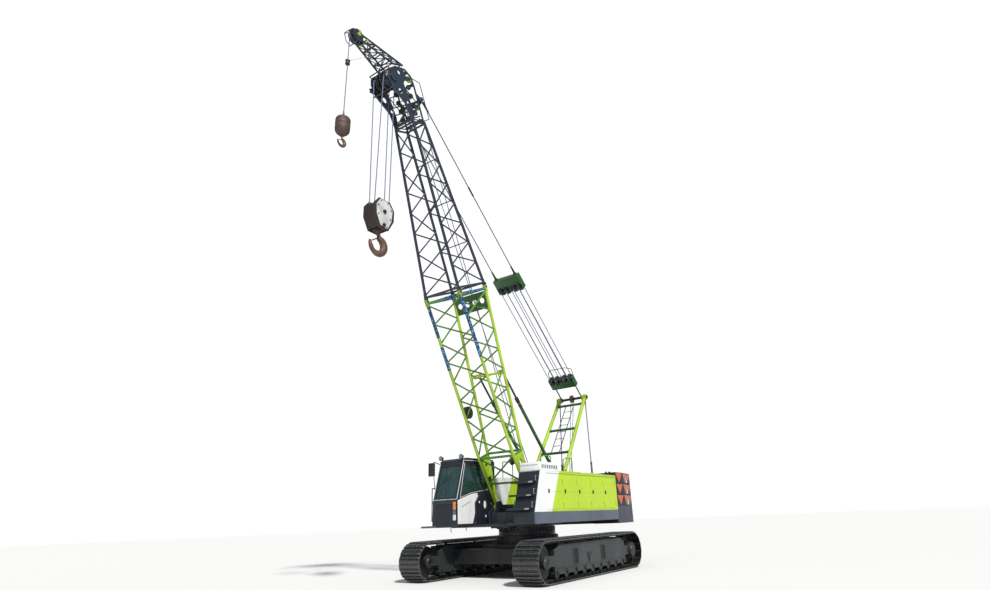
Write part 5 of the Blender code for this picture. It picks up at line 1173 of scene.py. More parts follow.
boom_navy = painted("boom_navy", (0.010, 0.020, 0.042), 0.36, coat=0.3, size=1.6, shade=0.6, dust=0.08,
                    wear=0.55, runs=0.1, bare=(0.16, 0.30, 0.38), edge=0.008)
work = bmesh.new()
for corner in CORNERS:
    bar(work, chord(corner, 6.5003), chord(corner, 11.5997), 0.042, 16)
    tang = chord(corner, 6.58)
    sheet(work, [tang + Vector((-0.022, 0, 0)) + ALONG * s + BACK * t for s, t in (
        (-0.076, -0.060), (0.10, -0.040), (0.10, 0.040), (-0.076, 0.060))], (1, 0, 0), 0.044)
lattice(work, 6.64, 11.50, 8, 0.022)
for s, radius in ((6.58, 0.032), (11.55, 0.03)):
    for face in range(4):
        bar(work, chord(CORNERS[face], s), chord(CORNERS[(face + 1) % 4], s), radius, 12)
for s in (7.9, 9.2, 10.5):                        # rope guide bars across the boom's back
    half = boom_half_width(s)
    cross_bar(work, half, s, boom_half_depth(s) + 0.05, 0.016, 12)
    for side in (-1, 1):
        bar(work, on_boom(side * half, s, boom_half_depth(s)),
            on_boom(side * half, s, boom_half_depth(s) + 0.065), 0.012, 8)
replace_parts(piece("boom_top_lattice", work, "boom", boom_navy), "boom_top")

# ---------------------------------------------------------------- head of the boom
# Two burnt plates carry the four head sheaves, the stay pins and the rope guides.  They are
# navy with chipped edges; the small guide pulleys are lime.

plate_x = 0.345
work = bmesh.new()
cheek = ((11.60, -0.30), (12.07, -0.37), (12.52, -0.77), (12.82, -0.83), (13.06, -0.71), (13.20, -0.37),
         (13.14, -0.06), (12.95, -0.02), (12.70, -0.20), (12.25, -0.13), (11.95, -0.10), (11.60, -0.16))
ear = ((12.08, 0.24), (12.52, 0.24), (12.37, 0.42), (12.23, 0.42))
for side in (-1, 1):
    face = side * plate_x - (0.03 if side > 0 else 0.0)
    holes = [[on_boom(face, s + radius * math.cos(a), t + radius * math.sin(a))
              for a in around(20)]
             for s, t, radius in ((12.12, -0.24, 0.055), (12.44, -0.42, 0.085), (13.02, -0.28, 0.060))]
    sheet(work, [on_boom(face, s, t) for s, t in cheek], (1, 0, 0), 0.03, holes)
    sheet(work, [on_boom(face, s, t) for s, t in ear], (1, 0, 0), 0.03, bevel=0.003)
    face = side * 0.330
    spine = ((11.60, 0.25), (12.72, 0.26), (12.99, 0.22), (13.17, 0.02), (13.16, -0.22))
    for start, end in zip(spine, spine[1:]):      # rear chord, bent round to the front plate
        bar(work, on_boom(face, *start), on_boom(face, *end), 0.026, 14)
        bmesh.ops.create_uvsphere(work, u_segments=12, v_segments=8, radius=0.027,
                                  matrix=Matrix.Translation(on_boom(face, *end)))
    for start, end in (((11.64, 0.25), (11.64, -0.20)), ((12.10, 0.25), (11.72, -0.14)),
                       ((12.10, 0.25), (12.55, -0.17)), ((12.72, 0.26), (12.55, -0.17)),
                       ((12.72, 0.26), (13.00, -0.06))):
        bar(work, on_boom(face, *start), on_boom(face, *end), 0.016, 10)
for s, t, radius in ((11.66, 0.23, 0.045), (11.66, -0.23, 0.045), (13.08, 0.05, 0.055),
                     (12.75, 0.20, 0.035), (12.30, 0.36, 0.034)):
    reach = 0.42 if t > 0.3 else 0.335
    cross_bar(work, reach, s, t, radius, 18)
for s, t in ((12.66, 0.06), (12.40, 0.07), (12.14, 0.08), (11.88, 0.06)):
    cross_bar(work, 0.34, s, t, 0.013, 10)
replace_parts(piece("head_frame", work, "boom", boom_navy), "boom_head")
work = bmesh.new()
for side in (-1, 1):
    face = side * plate_x
    rim = [(11.66, -0.27), (12.05, -0.34), (12.50, -0.74), (12.82, -0.80), (13.03, -0.69), (13.17, -0.36),
           (13.18, -0.10)]
    for start, end in zip(rim, rim[1:]):          # stiffening rim welded round the plate
        bar(work, on_boom(face, *start), on_boom(face, *end), 0.016, 8)
    bar(work, on_boom(face - side * 0.01, 12.82, -0.57), on_boom(face + side * 0.030, 12.82, -0.57), 0.125,
        28)
    bolts(work, [on_boom(face + side * 0.028, 12.82 + 0.10 * math.cos(a), -0.57 + 0.10 * math.sin(a))
                 for a in around(8)], (side, 0, 0), 0.014, 0.012)
for s, t in ((12.453, -0.871), (13.10, -0.78)):     # bars that keep the ropes on their sheaves
    cross_bar(work, 0.36, s, t + 0.03, 0.018, 12)
for x in (-0.36, 0.36):
    bar(work, on_boom(x, 12.453, -0.841), on_boom(x, 12.58, -0.66), 0.016, 8)
    bar(work, on_boom(x, 13.10, -0.75), on_boom(x, 13.00, -0.62), 0.016, 8)
for s in (11.78, 12.00, 12.22):                   # cross braces inside the head
    bar(work, on_boom(-0.33, s, -0.22), on_boom(0.33, s, 0.18), 0.018, 8)
piece("head_stiffeners", work, "boom", boom_navy)
block_black = painted("roller_black", (0.010, 0.010, 0.012), 0.45, size=6.0, dust=0.15, wear=0.5, runs=0.1)
work = bmesh.new()
guides = bmesh.new()
pulleys = ((11.95, 0.42, -0.20, 0.10), (12.18, 0.44, 0.12, 0.10), (12.62, 0.46, -0.10, 0.12),
           (13.05, 0.40, 0.10, 0.12), (11.70, 0.39, 0.20, 0.08))


def grooved_wheel(work, centre, radius, half, steps=32, core=0.03, places=(0.0,)):
    """Grooved wheels on one core, made by spinning their half section round the shaft."""
    centre = Vector(centre)
    for place in places:
        rim = radius + 0.04 * radius / 0.33
        section = [(half, core), (half, core * 2.1), (half * 0.45, core * 2.3),
                   (half * 0.45, radius * 0.80),
                   (half, radius * 0.88), (half, rim), (half * 0.72, rim), (half * 0.36, radius - 0.016),
                   (-half * 0.36, radius - 0.016), (-half * 0.72, rim), (-half, rim),
                   (-half, radius * 0.88),
                   (-half * 0.45, radius * 0.80), (-half * 0.45, core * 2.3), (-half, core * 2.1),
                   (-half, core)]
        verts = [work.verts.new(centre + Vector((place + x, r, 0))) for x, r in section]
        edges = [work.edges.new((a, b)) for a, b in zip(verts, verts[1:] + verts[:1])]
        bmesh.ops.spin(work, geom=verts + edges, cent=centre, axis=(1, 0, 0), angle=math.tau, steps=steps,
                       use_merge=True)


for s, t, x, radius in pulleys:
    grooved_wheel(guides, on_boom(x, s, t), radius * 0.8, 0.022, 20, 0.02)
    for way in (-0.04, 0.04):
        sheet(work, [on_boom(x + way - 0.006, s + a, t + b)
                     for a, b in ((-0.05, -0.20), (0.05, -0.20), (0.04, 0.03),
                                                                        (-0.04, 0.03))], (1, 0, 0), 0.012)
    bar(work, on_boom(x - 0.055, s, t), on_boom(x + 0.055, s, t), 0.014, 10)
for side in (-1, 1):                              # hand rails
    bent_rail(work, [on_boom(side * 0.33, 11.65, 0.30), on_boom(side * 0.36, 11.72, 0.52),
                     on_boom(side * 0.36, 12.85, 0.54), on_boom(side * 0.33, 12.95, 0.24)], 0.013)
piece("head_guides", work, "boom", boom_navy)
work = bmesh.new()
for s, t in ((12.66, 0.06), (12.40, 0.07), (12.14, 0.08), (11.88, 0.06)):
    for x in (-0.25, 0.27):                       # black rollers that lead the hoist ropes
        grooved_wheel(work, on_boom(x, s, t), 0.068, 0.022, 24, 0.014)
piece("lead_rollers", work, "boom", block_black)
piece("guide_pulleys", guides, "boom", painted("pulley_lime", (0.40, 0.58, 0.03), 0.4, size=8.0, wear=0.8,
                                               dust=0.1))
work = bmesh.new()
for side in (-1, 1):
    sheet(work, [on_boom(side * 0.30 - 0.008, s, t)
                 for s, t in ((12.50, -0.78), (12.72, -0.82), (12.68, -0.98),
                                                                 (12.56, -0.96))], (1, 0, 0), 0.016)
for side in (-1, 1):                              # short stub on each sheet
    bar(work, on_boom(side * 0.31, 12.62, -0.90), on_boom(side * 0.38, 12.62, -0.90), 0.022, 12)
piece("head_front_guard", work, "boom", boom_navy)
work = bmesh.new()
grooved_wheel(work, on_boom(0, 12.82, -0.57), 0.25, 0.034, 40, 0.07, (-0.27, -0.09, 0.09, 0.27))
cross_bar(work, 0.314, 12.82, -0.57, 0.069, 24)
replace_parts(piece("head_pulleys", work, "boom_head_sheaves", track_black), "head_sheaves")

# ---------------------------------------------------------------- tip arm
# A short tapering lattice pinned to the head carries one sheave for the single line, with a
# wire guard round it and lime lugs.

work = bmesh.new()
roots = ((13.31, 0.02), (13.27, -0.39))
ends = ((14.00, -1.14), (13.86, -1.28))
for side in (-1, 1):
    for root, end in zip(roots, ends):
        bar(work, on_boom(side * 0.30, *root), on_boom(side * 0.11, *end), 0.028, 14)
    bar(work, on_boom(side * 0.30, *roots[0]), on_boom(side * 0.30, *roots[1]), 0.028, 12)
    sheet(work, [on_boom(side * 0.11 - 0.012, 13.98 + 0.17 * math.cos(a), -1.30 + 0.17 * math.sin(a))
                 for a in around(28)], (1, 0, 0), 0.024)
stations = (0.02, 0.24, 0.46, 0.68, 0.88)
for index, share in enumerate(stations):
    rungs = []
    for root, end in zip(roots, ends):
        half = 0.30 - 0.19 * share
        place = (root[0] + share * (end[0] - root[0]), root[1] + share * (end[1] - root[1]))
        cross_bar(work, half, *place, 0.018, 10)
        rungs.append((half, place))
    for side in (-1, 1):
        bar(work, on_boom(side * rungs[0][0], *rungs[0][1]), on_boom(side * rungs[1][0], *rungs[1][1]),
            0.014, 8)
    if index:
        for side in (-1, 1):
            bar(work, on_boom(side * before[0][0], *before[0][1]),
                on_boom(side * rungs[1][0], *rungs[1][1]), 0.014, 8)
            bar(work, on_boom(side * before[index % 2][0], *before[index % 2][1]),
                on_boom(-side * rungs[index % 2][0], *rungs[index % 2][1]), 0.014, 8)
    before = rungs
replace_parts(piece("tip_arm", work, "boom", boom_navy), "boom_tip")
work = bmesh.new()
for side in (-1, 1):                              # bent guard round the tip sheave
    bent_rail(work, [on_boom(side * 0.10, 13.78 + 0.02, -1.38), on_boom(side * 0.10, 13.70, -1.52),
                     on_boom(side * 0.10, 13.82, -1.62),
                     on_boom(side * 0.10, 14.05, -1.60), on_boom(side * 0.10, 14.10, -1.44)], 0.012)
cross_bar(work, 0.10, 13.70, -1.52, 0.012, 8)
cross_bar(work, 0.10, 14.05, -1.60, 0.012, 8)
piece("tip_guard", work, "boom", boom_navy)
work = bmesh.new()
for side in (-1, 1):
    for s, t in ((13.86, -1.02), (14.08, -1.22), (13.66, -0.78)):
        block(work, on_boom(side * 0.135, s, t) - Vector((0.012, 0.040, 0.040)),
              on_boom(side * 0.135, s, t) + Vector((0.012, 0.040, 0.040)), 0.008,
              Matrix.Rotation(0.5, 3, "X"))
    bar(work, on_boom(side * 0.12, 13.98, -1.30), on_boom(side * 0.16, 13.98, -1.30), 0.05, 20)
piece("tip_lugs", work, "boom", boom_lime)
work = bmesh.new()
grooved_wheel(work, on_boom(0, 13.98, -1.30), 0.20, 0.034, 32, 0.055)
cross_bar(work, 0.097, 13.98, -1.30, 0.055, 20)
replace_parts(piece("tip_pulley", work, "boom_tip_sheave", track_black), "tip_sheave")

# ---------------------------------------------------------------- main hook line
# Four falls of wire rope hang from the head sheaves to a two-sheave block.  Its white cheek
# plates are bolted over cast side weights, and a forged hook turns in a trunnion below.

HEAD = Vector(joints["head_sheave_spin"]["pos_m"])
SHAFT = Vector(joints["main_block_sheave_spin"]["pos_m"])
SHEAVE = 0.25


def rope(name, route, radius, body, sides=8, between=None):
    """A wire rope swept along a route: a ring carried on from point to point and capped."""
    work = bmesh.new()
    route = [Vector(place) for place in route]
    loop = bmesh.ops.create_circle(work, cap_ends=True, segments=sides, radius=radius)["verts"]
    first = (route[1] - route[0]).to_track_quat("Z", "Y")
    bmesh.ops.transform(work, verts=loop, matrix=Matrix.Translation(route[0]) @ first.to_matrix().to_4x4())
    heading, place = first, route[0]
    edges = list({edge for vert in loop for edge in vert.link_edges})
    for index, after in enumerate(route[1:], 1):
        way = (route[min(index + 1, len(route) - 1)] - route[index - 1]).normalized()
        turn = (heading @ Vector((0, 0, 1))).rotation_difference(way)
        grown = bmesh.ops.extrude_edge_only(work, edges=edges)["geom"]
        loop = [part for part in grown if isinstance(part, bmesh.types.BMVert)]
        edges = [part for part in grown if isinstance(part, bmesh.types.BMEdge)
                 and all(vert in loop for vert in part.verts)]
        bmesh.ops.transform(work, verts=loop, matrix=Matrix.Translation(after) @ turn.to_matrix().to_4x4()
                            @ Matrix.Translation(-place))
        heading, place = turn @ heading, after
    bmesh.ops.contextual_create(work, geom=edges)
    made = piece(name, work, body, wire, sharp=60)
    if between:
        world = made.matrix_world.copy()
        made.parent = None
        made.matrix_world = world
        del made["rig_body"]
        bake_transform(made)
    return made


def steps_between(start, end, count):
    """Evenly spaced points on a straight line."""
    return [Vector(start).lerp(Vector(end), step / count) for step in range(count + 1)]


for word, x in (("left", 0.09), ("right", -0.09)):
    turn = [Vector((x, SHAFT.y + SHEAVE * math.cos(a), SHAFT.z + SHEAVE * math.sin(a)))
            for a in (math.pi + math.pi * step / 16 for step in range(17))]
    front, rear = Vector((x * 2.2, HEAD.y - SHEAVE, HEAD.z)), Vector((x * 1.2, HEAD.y + SHEAVE, HEAD.z))
    route = steps_between(front, turn[0], 24) + turn[1:-1] + steps_between(turn[-1], rear, 24)
    made = rope(f"main_falls_{word}", route, 0.014, "main_line", 10,
                ("main_line", "main_block", HEAD, SHAFT + Vector((0, 0, 0.30))))
    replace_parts(made, f"main_rope_{word}")

block_white = painted("block_white", (0.60, 0.60, 0.62), 0.42, size=4.0, shade=0.6, dust=0.35, wear=0.7,
                      runs=0.7, bare=(0.10, 0.08, 0.07))
block_dark = painted("block_dark", (0.026, 0.016, 0.015), 0.55, size=4.0, dust=0.25, wear=0.5, runs=0.4,
                     bare=(0.20, 0.12, 0.08))
rust_iron = painted("rust_iron", (0.15, 0.085, 0.060), 0.55, size=5.0, shade=0.45, dust=0.3, wear=0.6,
                    runs=0.5, bare=(0.42, 0.38, 0.36), bump=0.35, metal=0.25)
finish_node("hook_block", block_dark)
cheek = ((-0.27, 0.14), (-0.15, 0.33), (0.12, 0.33), (0.28, 0.14), (0.25, -0.20), (0.13, -0.455),
         (-0.11, -0.42), (-0.25, -0.13))
work = bmesh.new()
marks = bmesh.new()
for side in (-1, 1):
    sheet(work, [SHAFT + Vector((side * 0.201, y, z)) for y, z in cheek], (side, 0, 0), 0.014, bevel=0.004)
    for y, z, radius in ((0, 0, 0.060), (0.0, -0.385, 0.055)):
        bar(marks, SHAFT + Vector((side * 0.21, y, z)), SHAFT + Vector((side * 0.245, y, z)), radius, 24,
            radius * 0.8)
    bolts(marks, [SHAFT + Vector((side * 0.215, y, z)) for y, z in (
        (-0.22, 0.12), (0.23, 0.12), (-0.12, 0.285), (0.10, 0.285), (-0.20, -0.13), (0.20, -0.16),
        (0.10, -0.42))], (side, 0, 0), 0.019, 0.014)
piece("block_cheeks", work, "main_block", block_white)
piece("block_bolts", marks, "main_block", running_steel)
work = bmesh.new()
for side in (-1, 1):                              # cast weights and rope guards between the cheeks
    for way in (-1, 1):
        sheet(work, [SHAFT + Vector((side * 0.163 - 0.006, y * way, z)) for y, z in (
            (0.24, 0.23), (0.338, 0.14), (0.338, -0.155), (0.165, -0.475), (0.10, -0.475), (0.302, -0.08),
            (0.302, 0.08))],
              (1, 0, 0), 0.012)
for way in (-1, 1):
    sheet(work, [SHAFT + Vector((-0.17, way * y, z)) for y, z in (
        (0.324, 0.13), (0.342, 0.14), (0.342, -0.15), (0.172, -0.465), (0.155, -0.45), (0.324, -0.145))],
          (1, 0, 0), 0.34)
piece("block_weights", work, "main_block", block_dark)
work = bmesh.new()
grooved_wheel(work, SHAFT, SHEAVE, 0.034, 36, 0.06, (-0.09, 0.09))
shaft(work, SHAFT, -0.169, 0.169, 0.06, 20)
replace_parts(piece("block_pulleys", work, "main_block_sheaves", track_black), "block_sheaves")


def forged_hook(name, node, centre, size, shank_top, body):
    """A point hook forged in one piece: a round shank, a thick bowl and a nose that thins out."""
    work = bmesh.new()
    centre = Vector(centre)
    bowl = [centre + Vector((0, size * 0.5 * math.cos(math.radians(a)),
                             size * 0.5 * math.sin(math.radians(a))))
            for a in range(74, -166, -12)]
    route = [Vector((0, centre.y, shank_top)), centre + Vector((0, 0, size * 0.95)),
             centre + Vector((0, 0.01 * size, size * 0.78)),
             centre + Vector((0, size * 0.07, size * 0.62))] + bowl + [centre + Vector((0, -size * 0.55,
                                                                                        size * 0.02)),
                                                                        centre + Vector((0, -size * 0.59,
                                                                                         size * 0.20))]
    widths = [0.50, 0.50, 0.55, 0.62] + [0.70 + 0.50 * math.sin(math.pi * min(1.0, (i + 3) / 20))
                                         for i in range(len(bowl))]
    widths += [0.55, 0.26]
    heading, place = Vector((0, 0, -1)).to_track_quat("Z", "X"), route[0]
    loop = bmesh.ops.create_circle(work, cap_ends=True, segments=20,
                                   radius=size * 0.19 * widths[0])["verts"]
    bmesh.ops.transform(work, verts=loop, matrix=Matrix.Translation(place) @ heading.to_matrix().to_4x4())
    edges = list({edge for vert in loop for edge in vert.link_edges})
    for index, after in enumerate(route[1:], 1):
        way = (route[min(index + 1, len(route) - 1)] - route[index - 1]).normalized()
        turn = (heading @ Vector((0, 0, 1))).rotation_difference(way)
        scale = widths[index] / widths[index - 1]
        grown = bmesh.ops.extrude_edge_only(work, edges=edges)["geom"]
        loop = [part for part in grown if isinstance(part, bmesh.types.BMVert)]
        edges = [part for part in grown if isinstance(part, bmesh.types.BMEdge)
                 and all(vert in loop for vert in part.verts)]
        bmesh.ops.transform(work, verts=loop, matrix=Matrix.Translation(after) @ turn.to_matrix().to_4x4()
                            @ Matrix.Scale(scale, 4) @ Matrix.Translation(-place))
        heading, place = turn @ heading, after
    bmesh.ops.contextual_create(work, geom=edges)
    bar(work, (0, centre.y, shank_top - size * 0.14), (0, centre.y, shank_top - 0.003), size * 0.16, 20)
    made = piece(name, work, body, rust_iron, sharp=50)
    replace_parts(made, node)
    latch = bmesh.new()                           # sprung safety latch across the throat
    bar(latch, centre + Vector((-size * 0.09, size * 0.02, size * 0.50)),
        centre + Vector((size * 0.09, size * 0.02, size * 0.50)),
        size * 0.035, 12)
    sheet(latch, [centre + Vector((-size * 0.07, y * size, z * size)) for y, z in (
        (0.04, 0.46), (0.02, 0.53), (-0.50, 0.17), (-0.47, 0.12))], (1, 0, 0), size * 0.14, bevel=0.002)
    piece(f"{name}_latch", latch, body, running_steel)


forged_hook("main_hook_forging", "main_hook", SHAFT - Vector((0, 0, 0.90)), 0.44, SHAFT.z - 0.4705,
            "hook_of_main_block")

# ---------------------------------------------------------------- single hook line
# One rope runs over the tip sheave to a cast ball weight with a small swivel hook.  A limit
# switch hangs from the arm on a thin line, with its weight round the rope.

TIP = Vector(joints["auxiliary_line_swing"]["pos_m"])
LINE_Y = TIP.y - 0.20
BALL_TOP = TIP.z - 2.83
made = rope("single_fall", steps_between((0, LINE_Y, TIP.z), (0, LINE_Y, BALL_TOP + 0.1003), 30), 0.013,
            "auxiliary_line", 10,
            ("auxiliary_line", "auxiliary_ball", TIP, (0, LINE_Y, BALL_TOP + 0.12)))
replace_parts(made, "auxiliary_rope")
work = bmesh.new()
profile = [(0.10, 0.030), (0.085, 0.032), (0.04, 0.045), (0.02, 0.075), (0.0, 0.115), (-0.03, 0.165),
           (-0.07, 0.188),
           (-0.13, 0.190), (-0.14, 0.184), (-0.15, 0.190), (-0.25, 0.190), (-0.26, 0.184), (-0.27, 0.190),
           (-0.36, 0.189), (-0.42, 0.180), (-0.47, 0.150), (-0.51, 0.105), (-0.53, 0.085), (-0.55, 0.067)]
verts = [work.verts.new((r, LINE_Y, BALL_TOP + z)) for z, r in profile]
edges = [work.edges.new(pair) for pair in zip(verts, verts[1:])]
bmesh.ops.spin(work, geom=verts + edges, cent=(0, LINE_Y, 0), axis=(0, 0, 1), angle=math.tau, steps=40,
               use_merge=True)
bmesh.ops.holes_fill(work, edges=work.edges, sides=40)
rusty_ball = painted("rusty_ball", (0.085, 0.052, 0.040), 0.6, size=5.0, shade=0.35, dust=0.35, wear=0.5,
                     runs=0.8, bare=(0.34, 0.30, 0.28), bump=0.4)
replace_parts(piece("ball_weight", work, "auxiliary_ball", rusty_ball), "auxiliary_weight")
work = bmesh.new()
bar(work, (0, LINE_Y, BALL_TOP + 0.07), (0, LINE_Y, BALL_TOP + 0.20), 0.026, 16, 0.016)
bar(work, (-0.035, LINE_Y, BALL_TOP + 0.075), (0.035, LINE_Y, BALL_TOP + 0.075), 0.014, 10)
piece("rope_socket", work, "auxiliary_ball", running_steel)
forged_hook("single_hook_forging", "auxiliary_hook", (0, LINE_Y, BALL_TOP - 0.75), 0.20, BALL_TOP - 0.5505,
            "hook_of_auxiliary_ball")
work = bmesh.new()
LIMIT_Z = TIP.z - 1.03
bar(work, (0, LINE_Y, LIMIT_Z - 0.055), (0, LINE_Y, LIMIT_Z + 0.030), 0.052, 18)
bar(work, (0, LINE_Y, LIMIT_Z + 0.028), (0, LINE_Y, LIMIT_Z + 0.045), 0.066, 18)
bar(work, (0, LINE_Y, LIMIT_Z - 0.072), (0, LINE_Y, LIMIT_Z - 0.055), 0.066, 18)
piece("limit_weight", work, "auxiliary_line", block_dark)
switch = on_boom(0.10, 13.55, -0.70)
rope("limit_line", steps_between(switch, (0.04, LINE_Y + 0.03, LIMIT_Z + 0.05), 12), 0.005, "boom", 6,
     ("boom", "auxiliary_line", switch, (0.04, LINE_Y + 0.03, LIMIT_Z + 0.05)))

# ---------------------------------------------------------------- gantry
# Two raked tube legs and two tie rods with turnbuckles hold the top shaft over the winches.
# The legs are lime, the cross bars and the rigger's ladder green, the middle sheave red-brown.

TOP = at(0, 3.34, 5.58)
work = bmesh.new()
for side in (-1, 1):
    for y in (0.76, 3.30):                        # foot pads bolted on the frame's plates
        block(work, at(side * 0.62 - 0.082, y - 0.115, 1.951), at(side * 0.62 + 0.082, y + 0.115, 1.985),
              0.005)
        sheet(work, [at(side * 0.62 - 0.014, y + a, b) for a, b in (
            (-0.09, 1.975), (0.09, 1.975), (0.055, 2.13), (0.0, 2.16), (-0.055, 2.13))], (1, 0, 0), 0.028)
    bar(work, at(side * 0.62, 0.80, 2.01), at(side * 0.53, 3.325, 5.56), 0.062, 20)
    for share in (0.025, 0.955):                  # swaged ends with welded collars
        foot, head = at(side * 0.62, 0.80, 2.01), at(side * 0.53, 3.325, 5.56)
        bar(work, foot.lerp(head, share), foot.lerp(head, share + 0.03), 0.068, 20)
    shaft(work, TOP, side * 0.53 - 0.078, side * 0.53 + 0.078, 0.098, 28)
    shaft(work, TOP, side * 0.53 - 0.030, side * 0.53 + 0.030, 0.104, 28)
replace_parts(piece("gantry_legs", work, "upper", boom_lime), "gantry")
work = bmesh.new()
bars = []
for share in (0.93, 0.67, 0.44):
    x, y, z = 0.62 - share * 0.09, 0.76 + share * 2.58, 1.95 + share * 3.63
    bars.append((y, z))
    bar(work, at(-x, y, z), at(x, y, z), 0.043, 18)
    for side in (-1, 1):
        bar(work, at(side * (x - 0.10), y, z), at(side * (x - 0.065), y, z), 0.052, 18)
for x in (-0.16, 0.16):
    bar(work, at(x, *bars[0]), at(x, *bars[2]), 0.016, 12)
for rung in range(1, 7):
    y, z = (bars[0][i] + (bars[2][i] - bars[0][i]) * rung / 7 for i in (0, 1))
    bar(work, at(-0.16, y, z), at(0.16, y, z), 0.011, 8)
piece("gantry_cross_bars", work, "upper", green_paint_and_shade)
work = bmesh.new()
shaft(work, TOP, -0.452, 0.452, 0.045, 24)
for side in (-1, 1):
    shaft(work, TOP, side * 0.607, side * 0.640, 0.050, 6)
    bolts(work, [at(side * 0.62 + dx, y + dy, 1.985) for y in (0.76, 3.30) for dx in (-0.055, 0.055)
                 for dy in (-0.085, 0.085)], (0, 0, 1), 0.016, 0.014)
piece("gantry_top_shaft", work, "upper", running_steel)
turnbuckle_paint = painted("turnbuckle_brown", (0.22, 0.075, 0.022), 0.5, size=6.0, shade=0.5, dust=0.3,
                           wear=0.6, bare=(0.30, 0.26, 0.22), runs=0.4)
rods = bmesh.new()
turnbuckles = bmesh.new()
for side in (-1, 1):
    foot, head = at(side * 0.62, 3.305, 2.10), at(side * 0.53, 3.36, 5.50)
    bar(rods, foot, head, 0.019, 14)
    for place, way in ((foot, 1), (head, -1)):    # forged eyes pinned at both ends
        along = (head - foot).normalized() * way
        bar(rods, place, place + along * 0.22, 0.032, 14, 0.021)
        shaft(rods, place, -0.035, 0.035, 0.042, 18)
    low, high = foot.lerp(head, 0.22), foot.lerp(head, 0.335)
    for x in (-0.026, 0.026):
        bar(turnbuckles, low + Vector((x, 0, 0)), high + Vector((x, 0, 0)), 0.011, 10)
    for start, end in ((0.205, 0.225), (0.33, 0.35)):
        bar(turnbuckles, foot.lerp(head, start), foot.lerp(head, end), 0.037, 6)
piece("gantry_ties", rods, "upper", wire)
piece("tie_turnbuckles", turnbuckles, "upper", turnbuckle_paint)
sheave_red = painted("sheave_red", (0.12, 0.030, 0.016), 0.5, size=5.0, shade=0.5, dust=0.3, wear=0.7,
                     bare=(0.32, 0.28, 0.26), runs=0.3)
work = bmesh.new()
grooved_wheel(work, TOP, 0.125, 0.030, 32, 0.047, (0.0,))
piece("gantry_sheave", work, "upper", sheave_red)

# ---------------------------------------------------------------- spreaders and luffing rope
# Each spreader is a welded box with cheek plates round four sheaves.  The luffing rope runs
# eight times between them and down from the red-brown sheave to its drum.

STAY_PIN = on_boom(0, 12.30, 0.36)
STAY_WAY = (STAY_PIN - TOP).normalized()
STAY_OFF = Vector((0, STAY_WAY.z, -STAY_WAY.y))
TILT = Matrix.Rotation(math.atan2(STAY_WAY.z, STAY_WAY.y), 3, "X")
FALLS_X = (-0.37, -0.15, 0.15, 0.37)
LOWER, UPPER = 0.80, 5.08


def on_stay(distance, off=0.0, x=0.0):
    """A point at a distance up the line of the stays, off that line and to one side."""
    return TOP + STAY_WAY * distance + STAY_OFF * off + Vector((x, 0, 0))


def spreader(word, body, plate_at, plate_size, cheek_at, cheek_size, shaft_at, radius):
    """A welded box across the stays with four cheek plates, its shaft and its sheaves."""
    work = bmesh.new()
    length, depth = plate_size
    half = Vector((0.497, length / 2, depth / 2))
    block(work, on_stay(plate_at) - half, on_stay(plate_at) + half, 0.010, TILT)
    for x in (-0.485, -0.02, 0.02, 0.485):
        half = Vector((0.011, cheek_size[0] / 2, cheek_size[1] / 2))
        block(work, on_stay(cheek_at, 0, x) - half, on_stay(cheek_at, 0, x) + half, 0.004, TILT)
        bar(work, on_stay(shaft_at, 0, x - 0.018), on_stay(shaft_at, 0, x + 0.018), 0.062, 24)
    for side in (-1, 1):                          # ribs and edge strips of the box
        for off in (-depth / 2 - 0.004, depth / 2 + 0.004):
            bar(work, on_stay(plate_at + side * (length / 2 - 0.02), off, -0.485),
                on_stay(plate_at + side * (length / 2 - 0.02), off, 0.485), 0.010, 8)
    piece(f"{word}_spreader_frame", work, body, green_paint_and_shade)
    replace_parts(spreader_sheaves(f"{word}_spreader_sheaves", shaft_at, radius, body), f"{word}_spreader")


def spreader_sheaves(name, shaft_at, radius, body):
    """The sheaves of a spreader on their shaft, with its end nuts."""
    work = bmesh.new()
    grooved_wheel(work, on_stay(shaft_at), radius, 0.040, 32, 0.032, FALLS_X)
    bar(work, on_stay(shaft_at, 0, -0.515), on_stay(shaft_at, 0, 0.515), 0.031, 20)
    for side in (-1, 1):
        bar(work, on_stay(shaft_at, 0, side * 0.498), on_stay(shaft_at, 0, side * 0.520), 0.048, 6)
    return piece(name, work, body, track_black)


spreader("upper", "stays", UPPER + 0.12, (0.33, 0.21), UPPER - 0.10, (0.31, 0.21), UPPER - 0.14, 0.160)
spreader("lower", "bail", LOWER - 0.08, (0.27, 0.19), LOWER + 0.08, (0.27, 0.19), LOWER + 0.12, 0.145)
work = bmesh.new()
for side in (-1, 1):                              # links from the top shaft to the lower spreader
    x = side * 0.415
    bar(work, on_stay(0.0, 0, x), on_stay(LOWER - 0.17, 0, x), 0.024, 16)
    bar(work, on_stay(0.0, 0, x - 0.020), on_stay(0.0, 0, x + 0.020), 0.074, 24)
    bent_rail(work, [on_stay(LOWER + 0.16, 0.10, side * 0.485), on_stay(LOWER + 0.40, 0.16, side * 0.485),
                     on_stay(LOWER + 0.52, 0.12, side * 0.30)], 0.013)
bar(work, on_stay(LOWER + 0.52, 0.12, -0.30), on_stay(LOWER + 0.52, 0.12, 0.30), 0.013, 12)
piece("bail_links", work, "bail", green_paint_and_shade)
SPAN = (UPPER - 0.14) - (LOWER + 0.12)
